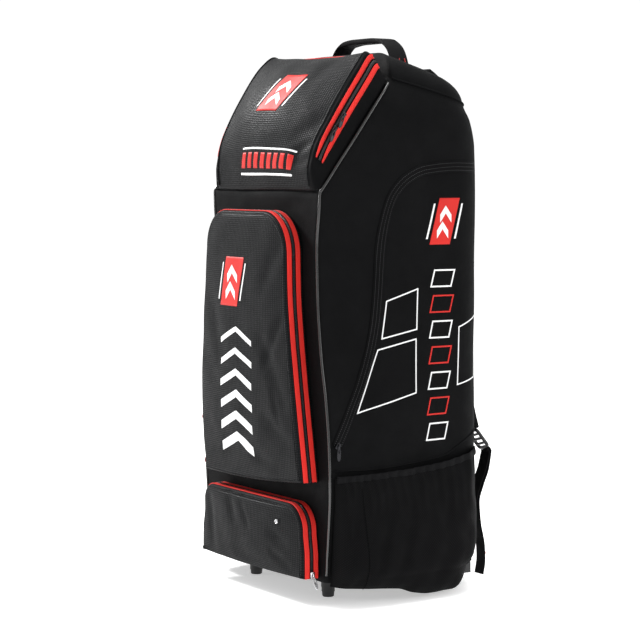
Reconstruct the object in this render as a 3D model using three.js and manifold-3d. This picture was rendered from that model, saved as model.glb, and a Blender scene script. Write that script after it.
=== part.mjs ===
// A stand-up wheeled cricket kit bag of cloth, with a wedge lid, two raised zipped pockets on the front,
// a gathered pouch on each side, long curved side zips, a grab handle, shoulder straps, feet and wheels.
// Millimetres, +Z up, the front faces -Y, and the viewer's right side is +X.
import * as THREE from "three";
import { mergeVertices } from "three/addons/utils/BufferGeometryUtils.js";
import Module from "manifold-3d";

const wasm = await Module();
wasm.setup();

// Driving sizes of the body.
const BODY_HALF = 203; // half the width where the body is fullest
const BODY_DEPTH = 335; // front wall to back wall
const BASE_Z = 36; // underside of the body above the floor
const SEAM_Z = 680; // seam between the front wall and the lid
const TOP_Z = 870; // top edge of the side panels at the front
const TOP_SETBACK = 142; // how far the slope carries the top edge back
const BACK_DROP = 46; // how far the top edge falls towards the back
const TOP_CROWN = 46; // rise of the top panel above its edge
const WALL = 3; // body cloth with its foam
const FRONT_RADIUS = 9;
const BACK_RADIUS = 72;
const CORNER_LIMIT = 2.6; // the shell's depth over the largest back corner that fits in it
const SIDE_FULLNESS = 5; // outward swell of a side panel between its edges
const GAP = 0.3; // running gap between touching pieces

// Driving sizes of the lid.
const LID_HEIGHT = 52; // lid panel above the slope
const LID_CROWN = 17;
const LID_BASE_HALF = 168;
const LID_TOP_HALF = 153;
const LID_OVERHANG = 20; // the panel runs past the top of the slope
const LID_WALL = 2.5;
const MOUTH_HALF = 138; // half the width of the body's mouth under the lid
const MOUTH_MARGIN = 26; // slope kept below and above the mouth
const MOUTH_CUT = [-20, 10]; // how far the cut runs below and above the slope
const LID_HOLLOW_DEPTH = 6; // how far the lid's hollow runs below the slope
const BAND_LIFT = 0.9; // a zip band's foot above the lid's side, which is faceted under it
const BAND_BACK_LIFT = 0.6; // what it stands off further where it crosses the lid's back edge

// Driving sizes of the pockets.
const FRONT_POCKET_Z = [206, 648];
const FRONT_POCKET_PROUD = 36;
const LOWER_POCKET_Z = [46, 166];
const LOWER_POCKET_PROUD = 32;
const POCKET_WALL = 2.2;
const POCKET_CROWN = 9;
const POCKET_SIDE_SHARE = 0.86; // how far out the pocket's side runs before its edge turns in
const POCKET_SEAT_DEPTH = 4; // how far the pocket's hollow runs past its open back
const TAPE_WIDTH = 9;
const TAPE_THICK = 1.4;
const COIL_WIDTH = 7;
const COIL_THICK = 2.2;

// Driving sizes of the side pouches.
const POUCH_BULGE = 48;
const POUCH_TOP_Z = 214;
const POUCH_BOTTOM_Z = 22;
const POUCH_LENGTH = 308; // front edge to the end round the back corner
const POUCH_WALL = 2;
const MOUTH_GAP = 9; // the elastic mouth stands off the side panel
const GATHER_DEPTH = 2.4;
const GATHERS = 6;
const POUCH_SEAT_Z = 48; // below this height the pouch keeps the side panel's place there

// Driving sizes of the trims.
const PIPING_RADIUS = 2.3;
const FLAP_WIDTH = 19;
const FLAP_THICK = 2.2;
const PIPING_LIFT = 0.8; // clearance of the welt from the corner that it follows
const PULL_LENGTH = 24;
const PULL_WIDTH = 7;
const PULL_THICK = 2.4;
const SLIDER_SIZE = [9.6, 7.7, 4]; // length, width and height of a slider's body
const PULL_LIFT = 3.2; // a pull's middle above its slider's foot
const SLIDER_LIFT = 1.6; // a slider's foot above a coil that leans under it
const RIVET_RADIUS = 4.2;
const RIVET_PROUD = 3.4; // the snap above the pocket's face where it sits

// Driving sizes of the handle and the straps.
const HANDLE_HALF = 98;
const HANDLE_RISE = 28; // the handle's top above the crown
const HANDLE_BACK = 71; // its middle behind the top of the slope
const HANDLE_WIDTH = 36;
const HANDLE_THICK = 9;
const HANDLE_END_THICK = 4; // the bare webbing beside the grip
const GRIP = [0.28, 0.72]; // the grip's two ends, as shares of the handle's length
const STRAP_WIDTH = 62;
const STRAP_THICK = 13;
const STRAP_BOTTOM_Z = 262;
const STRAP_TOP_X = 64; // the strap's middle at its top
const STRAP_LOW_INSET = 71; // and at its lower end, in from where the body is fullest
const STRAP_STANDOFF = 17;
const STRAP_TAPER = { from: 0.75, slope: 1.6 }; // where the pad starts to narrow, and how fast
const WEBBING_WIDTH = 25;
const WEBBING_THICK = 1.8;
const BUCKLE_HEIGHT = 40;
const BUCKLE_WIDTH = 36;
const BUCKLE_THICK = 8;
const BUCKLE_SLOT = 8; // length of each of its two slots
const BUCKLE_SLOT_AT = [-9, 9.5]; // their middles along the buckle
const BUCKLE_TILT = 0.5; // outward lean of the hanging buckle
const WEBBING_APART = 2.2; // the webbing and its tail, each from the buckle's middle
const WEBBING_LEAD = 5; // both leave the buckle straight over this length
const TAIL_END_Z = 8;

// Driving sizes of the feet and the wheels.
const FOOT_INSET = 86; // the foot's middle in from where the body is fullest
const FOOT_Y = 52;
const FOOT_TOP = 27;
const FOOT_BOTTOM = 20;
const WHEEL_RADIUS = 35;
const WHEEL_WIDTH = 24;
const WHEEL_INSET = 57; // the wheel's middle in from where the body is fullest
const WHEEL_BACK = 61; // back wall to the axle
const WHEEL_GAP = 4.5; // wheel to its well
const WHEEL_SIDE_GAP = 2.5;
const HOUSING_LOW_Z = 19.3;
const HOUSING_WALL = 4;
const AXLE_RADIUS = 4;
const AXLE_PLAY = 0.5;
const HUB_WALL = 7;
const TREAD_DEPTH = 10; // the tyre's depth, with its sides proud of the disc
const DISC_SETBACK = 4;
const TREAD_ROUND = [2, 3]; // the tyre's rounded shoulder, inward and across

// Colours and finishes, from the photo.
const finish = (color, roughness, metalness = 0) =>
  new THREE.MeshStandardMaterial({ color, roughness, metalness });
const CLOTH = finish(0x1c1c1e, 0.9);
const COATED = finish(0x26272a, 0.45);
const POUCH_CLOTH = finish(0x161617, 0.85);
const RED_TAPE = finish(0xd8362f, 0.75);
const ZIP = finish(0x0e0e0f, 0.5);
const METAL = finish(0x8d8f93, 0.35, 0.9);
const PLASTIC = finish(0x121213, 0.5);
const RUBBER = finish(0x1a1a1a, 0.8);

const bag = new THREE.Group();

// Makes a closed solid of vertices and triangles, turned so that its faces point out.
function solidOf(vertices, triangles) {
  const geometry = new THREE.BufferGeometry();
  geometry.setAttribute("position", new THREE.Float32BufferAttribute(vertices.flat(), 3));
  geometry.setIndex(triangles.flat());
  return solidFrom(geometry);
}

// Makes a closed solid of one of the library's geometries.
function solidFrom(geometry) {
  geometry.deleteAttribute("normal");
  geometry.deleteAttribute("uv");
  const merged = mergeVertices(geometry, 1e-3);
  const vertProperties = new Float32Array(merged.attributes.position.array);
  const triVerts = new Uint32Array(merged.index.array);
  const made = new wasm.Manifold(new wasm.Mesh({ numProp: 3, vertProperties, triVerts }));
  if (made.volume() > 0) return made;
  for (let i = 0; i < triVerts.length; i += 3) {
    [triVerts[i + 1], triVerts[i + 2]] = [triVerts[i + 2], triVerts[i + 1]];
  }
  return new wasm.Manifold(new wasm.Mesh({ numProp: 3, vertProperties, triVerts }));
}

// Adds a solid to the bag as a named mesh.
function addPiece(name, solid, material) {
  const made = solid.getMesh();
  const geometry = new THREE.BufferGeometry();
  geometry.setAttribute("position", new THREE.BufferAttribute(made.vertProperties, 3));
  geometry.setIndex(new THREE.BufferAttribute(made.triVerts, 1));
  geometry.computeVertexNormals();
  const mesh = new THREE.Mesh(geometry, material);
  mesh.name = name;
  bag.add(mesh);
  return solid;
}

// Joins closed rings of equal length into a solid, with a fan over each end.
function loft(rings) {
  const count = rings[0].length;
  const vertices = rings.flat();
  const triangles = [];
  for (let row = 0; row + 1 < rings.length; row += 1) {
    for (let i = 0; i < count; i += 1) {
      const a = row * count + i;
      const b = row * count + ((i + 1) % count);
      triangles.push([a, b, b + count], [a, b + count, a + count]);
    }
  }
  for (const [row, turn] of [[0, true], [rings.length - 1, false]]) {
    const middle = [0, 1, 2].map((k) => rings[row].reduce((sum, p) => sum + p[k], 0) / count);
    vertices.push(middle);
    for (let i = 0; i < count; i += 1) {
      const a = row * count + i;
      const b = row * count + ((i + 1) % count);
      triangles.push(turn ? [vertices.length - 1, b, a] : [vertices.length - 1, a, b]);
    }
  }
  return solidOf(vertices, triangles);
}

// Joins two grids of equal size, an outer and an inner face, into a thick open sheet.
function sheet(outer, inner) {
  const rows = outer.length;
  const columns = outer[0].length;
  const vertices = [...outer.flat(), ...inner.flat()];
  const index = (side, i, j) => side * rows * columns + i * columns + j;
  const triangles = [];
  const quad = (a, b, c, d) => triangles.push([a, b, c], [a, c, d]);
  for (let i = 0; i + 1 < rows; i += 1) {
    for (let j = 0; j + 1 < columns; j += 1) {
      quad(index(0, i, j), index(0, i, j + 1), index(0, i + 1, j + 1), index(0, i + 1, j));
      quad(index(1, i, j), index(1, i + 1, j), index(1, i + 1, j + 1), index(1, i, j + 1));
    }
    quad(index(0, i, 0), index(0, i + 1, 0), index(1, i + 1, 0), index(1, i, 0));
    const last = columns - 1;
    quad(index(0, i + 1, last), index(0, i, last), index(1, i, last), index(1, i + 1, last));
  }
  for (let j = 0; j + 1 < columns; j += 1) {
    quad(index(0, 0, j + 1), index(0, 0, j), index(1, 0, j), index(1, 0, j + 1));
    const end = rows - 1;
    quad(index(0, end, j), index(0, end, j + 1), index(1, end, j + 1), index(1, end, j));
  }
  return solidOf(vertices, triangles);
}

// Straight-line reading of a table's column at a value of its key column.
function read(table, key, column, value) {
  if (value <= table[0][key]) return table[0][column];
  for (let i = 1; i < table.length; i += 1) {
    if (value > table[i][key]) continue;
    const share = (value - table[i - 1][key]) / (table[i][key] - table[i - 1][key]);
    return table[i - 1][column] + share * (table[i][column] - table[i - 1][column]);
  }
  return table[table.length - 1][column];
}

const minus = (a, b) => a.map((v, k) => v - b[k]);
const unit = (a) => a.map((v) => v / Math.hypot(...a));
const cross = (a, b) => [a[1] * b[2] - a[2] * b[1], a[2] * b[0] - a[0] * b[2], a[0] * b[1] - a[1] * b[0]];
const along = (p, ...steps) => p.map((v, k) => v + steps.reduce((sum, [d, t]) => sum + d[k] * t, 0));

// A smooth run of points through a few chosen ones.
function smooth(points, steps) {
  const curve = new THREE.CatmullRomCurve3(points.map((p) => new THREE.Vector3(...p)), false, "centripetal");
  return curve.getPoints(steps).map((p) => p.toArray());
}

// The value at a share of a path, of one number or of a function.
const at = (value, share) => (typeof value === "function" ? value(share) : value);

// A band of oblong section along a path, its width lying along one fixed direction.
function band(path, across, width, thick) {
  const rings = path.map((p, i) => {
    const share = i / (path.length - 1);
    const run = unit(minus(path[Math.min(i + 1, path.length - 1)], path[Math.max(i - 1, 0)]));
    const out = unit(cross(run, across));
    const side = unit(cross(out, run));
    const half = at(thick, share) / 2;
    const wide = at(width, share) / 2;
    return [[-1, -1], [1, -1], [1, 1], [-1, 1]].map(([a, b]) => along(p, [side, a * wide], [out, b * half]));
  });
  return loft(rings);
}

// A round cord along a path.
function cord(path, radius, sides) {
  const rings = path.map((p, i) => {
    const run = unit(minus(path[Math.min(i + 1, path.length - 1)], path[Math.max(i - 1, 0)]));
    const out = unit(cross(run, [0, 1, 0]));
    const side = cross(out, run);
    return Array.from({ length: sides }, (_, k) => {
      const turn = (2 * Math.PI * k) / sides;
      return along(p, [out, radius * Math.cos(turn)], [side, radius * Math.sin(turn)]);
    });
  });
  return loft(rings);
}

// A round bar along X, used for the wheels, axles and their holes.
function bar(centre, radius, length, sides = 28) {
  const shape = new THREE.CylinderGeometry(radius, radius, length, sides);
  shape.rotateZ(Math.PI / 2);
  shape.translate(...centre);
  return solidFrom(shape);
}

function block(low, high) {
  const shape = new THREE.BoxGeometry(...minus(high, low));
  shape.translate(...low.map((v, k) => (v + high[k]) / 2));
  return solidFrom(shape);
}

// The body's rings from the base to the top edge. front and back are shares of the height from the base
// to the seam, up to 1, and of the rise from the seam to the top edge past 1. half is a share of the
// fullest half width, in is a share of the depth that the ring keeps clear of the front or the back wall.
const BODY_ROWS = [
  { front: 0.0, back: 0.0, inFront: 0.05, inBack: 0.24, frontHalf: 0.82, backHalf: 0.8 },
  { front: 0.004, back: 0.012, inFront: 0.01, inBack: 0.13, frontHalf: 0.92, backHalf: 0.9 },
  { front: 0.025, back: 0.045, inFront: 0.0, inBack: 0.05, frontHalf: 0.945, backHalf: 0.945 },
  { front: 0.07, back: 0.1, inFront: 0.0, inBack: 0.01, frontHalf: 0.955, backHalf: 0.96 },
  { front: 0.15, back: 0.16, inFront: 0.0, inBack: 0.0, frontHalf: 0.98, backHalf: 0.965 },
  { front: 0.24, back: 0.24, inFront: 0.0, inBack: 0.0, frontHalf: 1.0, backHalf: 0.965 },
  { front: 0.35, back: 0.35, inFront: 0.0, inBack: 0.0, frontHalf: 0.985, backHalf: 0.965 },
  { front: 0.47, back: 0.47, inFront: 0.0, inBack: 0.0, frontHalf: 0.94, backHalf: 0.965 },
  { front: 0.58, back: 0.58, inFront: 0.0, inBack: 0.0, frontHalf: 0.872, backHalf: 0.965 },
  { front: 0.73, back: 0.73, inFront: 0.0, inBack: 0.0, frontHalf: 0.818, backHalf: 0.965 },
  { front: 0.86, back: 0.86, inFront: 0.0, inBack: 0.0, frontHalf: 0.808, backHalf: 0.965 },
  { front: 1.0, back: 1.0, inFront: 0.0, inBack: 0.0, frontHalf: 0.85, backHalf: 0.965 },
  { front: 1.3, back: 1.22, inFront: 0.0, inBack: 0.0, frontHalf: 0.862, backHalf: 0.965 },
  { front: 1.6, back: 1.5, inFront: 0.0, inBack: 0.0, frontHalf: 0.865, backHalf: 0.96 },
  { front: 1.85, back: 1.8, inFront: 0.0, inBack: 0.02, frontHalf: 0.86, backHalf: 0.94 },
  { front: 2.0, back: 2.0, inFront: 0.01, inBack: 0.055, frontHalf: 0.82, backHalf: 0.89 },
];
// The crowned top: how much of the top edge's spread is left, and the share of the crown's rise.
const CROWN_ROWS = [
  { spread: 0.95, rise: 0.46 },
  { spread: 0.83, rise: 0.82 },
  { spread: 0.56, rise: 1.0 },
  { spread: 0.2, rise: 1.0 },
];
const FRONT_STEPS = 4;
const CORNER_STEPS = 2;
const SIDE_STEPS = 4;
const BACK_CORNER_STEPS = 4;
const BACK_STEPS = 4;

// Height of a share in BODY_ROWS, for an edge whose top end is at top.
function heightOf(share, top) {
  if (share <= 1) return BASE_Z + share * (SEAM_Z - BASE_Z);
  return SEAM_Z + (share - 1) * (top - SEAM_Z);
}

// How far the front edge stands back at a height: nothing up to the seam, then along the slope.
function slopeY(z) {
  return Math.max(0, ((z - SEAM_Z) / (TOP_Z - SEAM_Z)) * TOP_SETBACK);
}

// One half of a ring's corner arc, as turns from 0 to 90 degrees.
function arc(steps) {
  return Array.from({ length: steps + 1 }, (_, i) => (i / steps) * (Math.PI / 2));
}

// One ring of the body, from the middle of the front round the right side to the back and home again.
// off draws the ring in by a wall.
function bodyRing(row, off) {
  const frontZ = heightOf(row.front, TOP_Z);
  const backZ = heightOf(row.back, TOP_Z - BACK_DROP);
  const y0 = slopeY(frontZ) + row.inFront * BODY_DEPTH + off;
  const y1 = BODY_DEPTH - row.inBack * BODY_DEPTH - off;
  const frontHalf = row.frontHalf * BODY_HALF - off;
  const backHalf = row.backHalf * BODY_HALF - off;
  const r0 = FRONT_RADIUS;
  const r1 = Math.min(BACK_RADIUS, (y1 - y0) / CORNER_LIMIT) - off;
  const right = [];
  for (let i = 0; i <= FRONT_STEPS / 2; i += 1) {
    right.push([((frontHalf - r0) * i) / (FRONT_STEPS / 2), y0]);
  }
  for (const turn of arc(CORNER_STEPS).slice(1)) {
    right.push([frontHalf - r0 + r0 * Math.sin(turn), y0 + r0 - r0 * Math.cos(turn)]);
  }
  for (let i = 1; i < SIDE_STEPS; i += 1) {
    const share = i / SIDE_STEPS;
    const x = frontHalf + (backHalf - frontHalf) * share + SIDE_FULLNESS * Math.sin(Math.PI * share);
    right.push([x, y0 + r0 + (y1 - r1 - y0 - r0) * share]);
  }
  for (const turn of arc(BACK_CORNER_STEPS)) {
    right.push([backHalf - r1 + r1 * Math.cos(turn), y1 - r1 + r1 * Math.sin(turn)]);
  }
  right.push([0, y1]);
  const left = right.slice(1, -1).reverse().map(([x, y]) => [-x, y]);
  const lift = row.front === 0 ? off : 0;
  const sink = row.front === 2 ? off : 0;
  return [...right, ...left].map(([x, y]) => {
    const share = (y - y0) / (y1 - y0);
    return [x, y, frontZ + (backZ - frontZ) * share + lift - sink];
  });
}

// The closed form of the body, drawn in by off.
function bodyForm(off) {
  const rings = BODY_ROWS.map((row) => bodyRing(row, off));
  const edge = rings[rings.length - 1];
  const middleY = edge.reduce((sum, p) => sum + p[1], 0) / edge.length;
  for (const { spread, rise } of CROWN_ROWS) {
    rings.push(edge.map(([x, y, z]) => [
      x * spread,
      middleY + (y - middleY) * spread,
      z + TOP_CROWN * rise,
    ]));
  }
  return loft(rings);
}

const bodySolid = bodyForm(0);

// The slope under the lid: a point s up the slope, h above it and x across.
const slopeLength = Math.hypot(TOP_SETBACK, TOP_Z - SEAM_Z);
const slopeRun = [0, TOP_SETBACK / slopeLength, (TOP_Z - SEAM_Z) / slopeLength];
const slopeUp = [0, -slopeRun[2], slopeRun[1]];
const onSlope = (x, s, h) => along([x, 0, SEAM_Z], [slopeRun, s], [slopeUp, h]);

// The lid's sections up the slope. base and top are shares of the slope's length, with the overhang
// added by over. high is a share of the lid's height, crown of its crown, half of its half width.
// left is how much higher the left edge stands than the right one.
const LID_ROWS = [
  { base: 0.012, top: 0.012, over: 0, high: 0.09, crown: 0, left: 1, half: 1.0 },
  { base: 0.04, top: 0.06, over: 0, high: 0.31, crown: 0.2, left: 1, half: 1.0 },
  { base: 0.1, top: 0.13, over: 0, high: 0.58, crown: 0.5, left: 1.03, half: 1.0 },
  { base: 0.17, top: 0.2, over: 0, high: 0.72, crown: 0.8, left: 1.08, half: 1.0 },
  { base: 0.3, top: 0.33, over: 0, high: 0.87, crown: 1.1, left: 1.14, half: 1.0 },
  { base: 0.45, top: 0.48, over: 0, high: 0.94, crown: 1.25, left: 1.2, half: 1.0 },
  { base: 0.65, top: 0.69, over: 0, high: 1.0, crown: 1.1, left: 1.22, half: 1.0 },
  { base: 0.82, top: 0.87, over: 0.2, high: 1.03, crown: 0.6, left: 1.18, half: 1.0 },
  { base: 0.92, top: 0.96, over: 0.6, high: 1.04, crown: -0.1, left: 1.1, half: 0.99 },
  { base: 0.955, top: 0.98, over: 0.9, high: 1.0, crown: -0.35, left: 1.06, half: 0.98 },
  { base: 0.975, top: 0.99, over: 1.0, high: 0.88, crown: -0.35, left: 1.04, half: 0.97 },
];
const LID_SIDE_SHARES = [
  { up: 0, out: 1 },
  { up: 0.3, out: 0.72 },
  { up: 0.68, out: 0.4 },
  { up: 0.92, out: 0.12 },
  { up: 1, out: -0.2 },
];
const LID_ACROSS = [0.62, 0.22];

// One section of the lid, from the right foot over the crown to the left foot. off draws it in, and
// down carries its feet below the slope, so that what it cuts is open underneath.
function lidRing(row, off, down) {
  const baseHalf = LID_BASE_HALF * row.half - off;
  const topHalf = LID_TOP_HALF * row.half - off;
  const high = (sign) => Math.max(LID_HEIGHT * row.high * (sign < 0 ? row.left : 1) - off, 0.5);
  const baseS = row.base * slopeLength;
  const topS = row.top * slopeLength + row.over * LID_OVERHANG;
  const point = (x, h) => onSlope(x, baseS + ((topS - baseS) * h) / (LID_HEIGHT * row.high), h);
  const side = (sign) => LID_SIDE_SHARES.map(({ up, out }) => {
    const x = topHalf + (baseHalf - topHalf) * out;
    return point(sign * x, up === 0 ? GAP - down : high(sign) * up);
  });
  const top = [...LID_ACROSS, ...[...LID_ACROSS].reverse().map((share) => -share)].map((share) => {
    const edge = high(-1) + ((high(1) - high(-1)) * (share + 1)) / 2;
    return point(topHalf * share, edge + LID_CROWN * row.crown * (1 - share ** 2));
  });
  return [...side(1), ...top, ...side(-1).reverse()];
}

function lidSolid() {
  const outer = loft(LID_ROWS.map((row) => lidRing(row, 0, 0)));
  const inner = LID_ROWS.slice(1, -1).map((row) => lidRing(row, LID_WALL, LID_HOLLOW_DEPTH));
  return outer.subtract(loft(inner));
}

// The body's mouth, cut square to the slope.
function mouthCut() {
  const [low, high] = [MOUTH_MARGIN, slopeLength - MOUTH_MARGIN];
  const ring = (h) => [
    onSlope(-MOUTH_HALF, low, h),
    onSlope(MOUTH_HALF, low, h),
    onSlope(MOUTH_HALF, high, h),
    onSlope(-MOUTH_HALF, high, h),
  ];
  return loft(MOUTH_CUT.map(ring));
}

// A wheel's axle place on one side.
const wheelAt = (side) => [side * (BODY_HALF - WHEEL_INSET), BODY_DEPTH - WHEEL_BACK, WHEEL_RADIUS];
const wellHalf = WHEEL_WIDTH / 2 + WHEEL_SIDE_GAP;
const housingHalf = wellHalf + HOUSING_WALL;
const housingRadius = WHEEL_RADIUS + WHEEL_GAP + HOUSING_WALL;

// A housing's full form, grown by more, before its well is cut.
function housingForm(side, more) {
  const centre = wheelAt(side);
  const radius = housingRadius + more;
  const round = bar(centre, radius, 2 * (housingHalf + more), 24);
  const low = [centre[0] - housingHalf - more, centre[1] - radius, HOUSING_LOW_Z - more];
  const high = [centre[0] + housingHalf + more, centre[1] + radius, centre[2]];
  const skirt = block(low, high);
  const cutLow = [low[0] - 1, centre[1] - 2 * radius, -radius];
  const cutHigh = [high[0] + 1, centre[1] + 2 * radius, HOUSING_LOW_Z - more];
  return round.add(skirt).subtract(block(cutLow, cutHigh));
}

function addBody() {
  let shell = bodySolid.subtract(bodyForm(WALL)).subtract(mouthCut());
  for (const side of [1, -1]) shell = shell.subtract(housingForm(side, GAP));
  const parts = shell.decompose().sort((a, b) => b.volume() - a.volume());
  addPiece("body_shell", parts[0], CLOTH);
}

// Outlines of the raised pockets. up is a share of the pocket's height, left and right are shares of the
// body's fullest half width. The top corners are quarter rounds of the given radii.
const FRONT_POCKET = {
  z: FRONT_POCKET_Z,
  proud: FRONT_POCKET_PROUD,
  radii: { left: 60, right: 70 },
  bow: 6,
  leftDrop: 13,
  sides: [
    { up: 0.0, left: 0.71, right: 0.84 },
    { up: 0.12, left: 0.755, right: 0.795 },
    { up: 0.25, left: 0.775, right: 0.745 },
    { up: 0.4, left: 0.765, right: 0.69 },
    { up: 0.55, left: 0.74, right: 0.64 },
    { up: 0.7, left: 0.71, right: 0.605 },
    { up: 0.85, left: 0.675, right: 0.595 },
  ],
};
const LOWER_POCKET = {
  z: LOWER_POCKET_Z,
  proud: LOWER_POCKET_PROUD,
  radii: { left: 26, right: 44 },
  bow: 3,
  leftDrop: 0,
  sides: [
    { up: 0.0, left: 0.8, right: 0.83 },
    { up: 0.3, left: 0.8, right: 0.83 },
    { up: 0.6, left: 0.77, right: 0.805 },
  ],
};
const POCKET_ARC_STEPS = 4;

// The side and top run of a pocket's outline, from the bottom right over the top to the bottom left,
// as points [x, z], grown outward by grow.
function pocketRun(pocket, grow) {
  const [z0, z1] = pocket.z;
  const high = z1 - z0;
  const top = z1 + grow;
  const arm = (key, sign) => {
    const radius = pocket.radii[key] + grow;
    const rows = pocket.sides.filter((row) => z0 + row.up * high < z1 - pocket.radii[key]);
    const drop = (row) => (key === "left" && row.up === 0 ? pocket.leftDrop : 0);
    const side = rows.map((row) => [sign * (row[key] * BODY_HALF + grow), z0 + row.up * high - drop(row)]);
    const reach = read(pocket.sides, "up", key, 1 - pocket.radii[key] / high) * BODY_HALF + grow;
    const round = arc(POCKET_ARC_STEPS).map((turn) => [
      sign * (reach - radius + radius * Math.cos(turn)),
      top - radius + radius * Math.sin(turn),
    ]);
    return [...side, ...round];
  };
  return [...arm("right", 1), ...arm("left", -1).reverse()];
}

// The whole outline of a pocket, drawn in by off, with its slightly bowed lower edge.
function pocketOutline(pocket, off) {
  const run = pocketRun(pocket, -off);
  const [first, last] = [run[0], run[run.length - 1]];
  const bottom = [0.25, 0.5, 0.75].map((share) => [
    last[0] + (first[0] - last[0]) * share,
    last[1] + (first[1] - last[1]) * share + off - pocket.bow * Math.sin(Math.PI * share),
  ]);
  const lifted = [run[0], run[run.length - 1]].map(([x, z]) => [x, z + off]);
  return [lifted[0], ...run.slice(1, -1), lifted[1], ...bottom];
}

// A pocket's rings from the front wall out to its crowned face: how far out, as a share of what it
// stands proud, and how far the outline is drawn in.
const POCKET_ROWS = [
  { out: 0.0, draw: 0 },
  { out: POCKET_SIDE_SHARE, draw: 0 },
  { out: 0.97, draw: 2 },
  { out: 1.0, draw: 6 },
];
const POCKET_FACE = [
  { spread: 0.72, crown: 0.6 },
  { spread: 0.38, crown: 0.95 },
];

function pocketForm(pocket, off, back) {
  const middleZ = (pocket.z[0] + pocket.z[1]) / 2;
  const rings = POCKET_ROWS.map(({ out, draw }, i) => {
    const y = i === 0 ? -GAP + back : -GAP - (pocket.proud - off) * out;
    return pocketOutline(pocket, off + draw).map(([x, z]) => [x, y, z]);
  });
  const edge = rings[rings.length - 1];
  for (const { spread, crown } of POCKET_FACE) {
    rings.push(edge.map(([x, y, z]) => [
      x * spread,
      y - POCKET_CROWN * crown,
      middleZ + (z - middleZ) * spread,
    ]));
  }
  return loft(rings);
}

function addPocket(name, pocket) {
  const solid = pocketForm(pocket, 0, 0).subtract(pocketForm(pocket, POCKET_WALL, POCKET_SEAT_DEPTH));
  addPiece(name, solid, COATED);
}

// A trim band laid round a pocket's side, from depth near to far, standing off by GAP.
function pocketBand(pocket, near, far, thick) {
  const inner = pocketRun(pocket, GAP);
  const outer = pocketRun(pocket, GAP + thick);
  const rings = inner.map(([x, z], i) => [
    [x, -near, z],
    [outer[i][0], -near, outer[i][1]],
    [outer[i][0], -far, outer[i][1]],
    [x, -far, z],
  ]);
  return loft(rings);
}

// The two tapes and the coil between them round one pocket.
function addPocketZip(name, pocket) {
  const front = pocket.proud * POCKET_SIDE_SHARE;
  const coil = front - TAPE_WIDTH - GAP;
  const back = coil - COIL_WIDTH - GAP;
  addPiece(name + "_tape_front", pocketBand(pocket, front - TAPE_WIDTH, front, TAPE_THICK), RED_TAPE);
  addPiece(name + "_zip", pocketBand(pocket, coil - COIL_WIDTH, coil, COIL_THICK), ZIP);
  addPiece(name + "_tape_back", pocketBand(pocket, back - TAPE_WIDTH, back, TAPE_THICK), RED_TAPE);
}

// A point on the lid's right side wall: up is a share of the lid's height there, off stands clear of it.
function lidSide(row, up, off, sign = 1) {
  const [baseHalf, topHalf] = [LID_BASE_HALF * row.half, LID_TOP_HALF * row.half];
  const x = topHalf + (baseHalf - topHalf) * read(LID_SIDE_SHARES, "up", "out", up) + off;
  const baseS = row.base * slopeLength;
  const topS = row.top * slopeLength + row.over * LID_OVERHANG;
  const lean = sign < 0 ? row.left : 1;
  return { x, s: baseS + (topS - baseS) * up * lean, h: LID_HEIGHT * row.high * up * lean };
}

// A band of the lid's zip, up the right side, across the back edge and down the left side, between two
// shares of the lid's height.
const LID_ZIP_FIRST_ROW = 3;
function lidBand(low, high, thick) {
  const rows = LID_ROWS.slice(LID_ZIP_FIRST_ROW);
  const last = rows[rows.length - 1];
  const corners = [[low, BAND_LIFT], [low, BAND_LIFT + thick], [high, BAND_LIFT + thick], [high, BAND_LIFT]];
  const ring = (row, sign, carry, spread) => corners.map(([up, off]) => {
    const p = lidSide(row, up, off, sign);
    return onSlope(sign * p.x * spread, p.s + carry * (off + BAND_BACK_LIFT), p.h);
  });
  const right = rows.map((row) => ring(row, 1, 0, 1));
  const left = [...rows].reverse().map((row) => ring(row, -1, 0, 1));
  const over = [[1, 1], [1, 0.93], [1, 0.45], [-1, 0.45], [-1, 0.93], [-1, 1]];
  return loft([...right, ...over.map(([sign, spread]) => ring(last, sign, 1, spread)), ...left]);
}

// An oblong block at a place, turned to two directions, with its length, width and thickness.
function turnedBlock(place, run, side, [length, width, thick]) {
  const out = cross(run, side);
  const ring = (end) => [[-1, -1], [1, -1], [1, 1], [-1, 1]].map(([a, b]) =>
    along(place, [run, (end * length) / 2], [side, (a * width) / 2], [out, (b * thick) / 2]));
  return loft([ring(-1), ring(1)]);
}

// A zip slider on its coil, with its pull hanging from it. run is the zip's direction, side lies across
// the zip, and hang is the way the pull lies.
function slider(place, run, side, hang, outward) {
  const body = turnedBlock(along(place, [outward, SLIDER_SIZE[2] / 2]), run, side, SLIDER_SIZE);
  const across = unit(cross(hang, outward));
  const middle = along(place, [outward, PULL_LIFT], [hang, PULL_LENGTH / 2]);
  const pull = turnedBlock(middle, hang, across, [PULL_LENGTH, PULL_WIDTH, PULL_THICK]);
  return body.add(pull);
}

// Where the lid's zip bands lie, as shares of the lid's height, and its sliders, as shares of the slope.
const LID_SLIDER_SHARES = [0.44, 0.56];
const LID_SLIDER_ROW = 5;
const LID_PULL_LEAN = [0.16, -0.5, -0.85];
const LID_TAPE_SHARES = { outer: [0.44, 0.6], coil: [0.62, 0.75], inner: [0.77, 0.915] };

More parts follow.
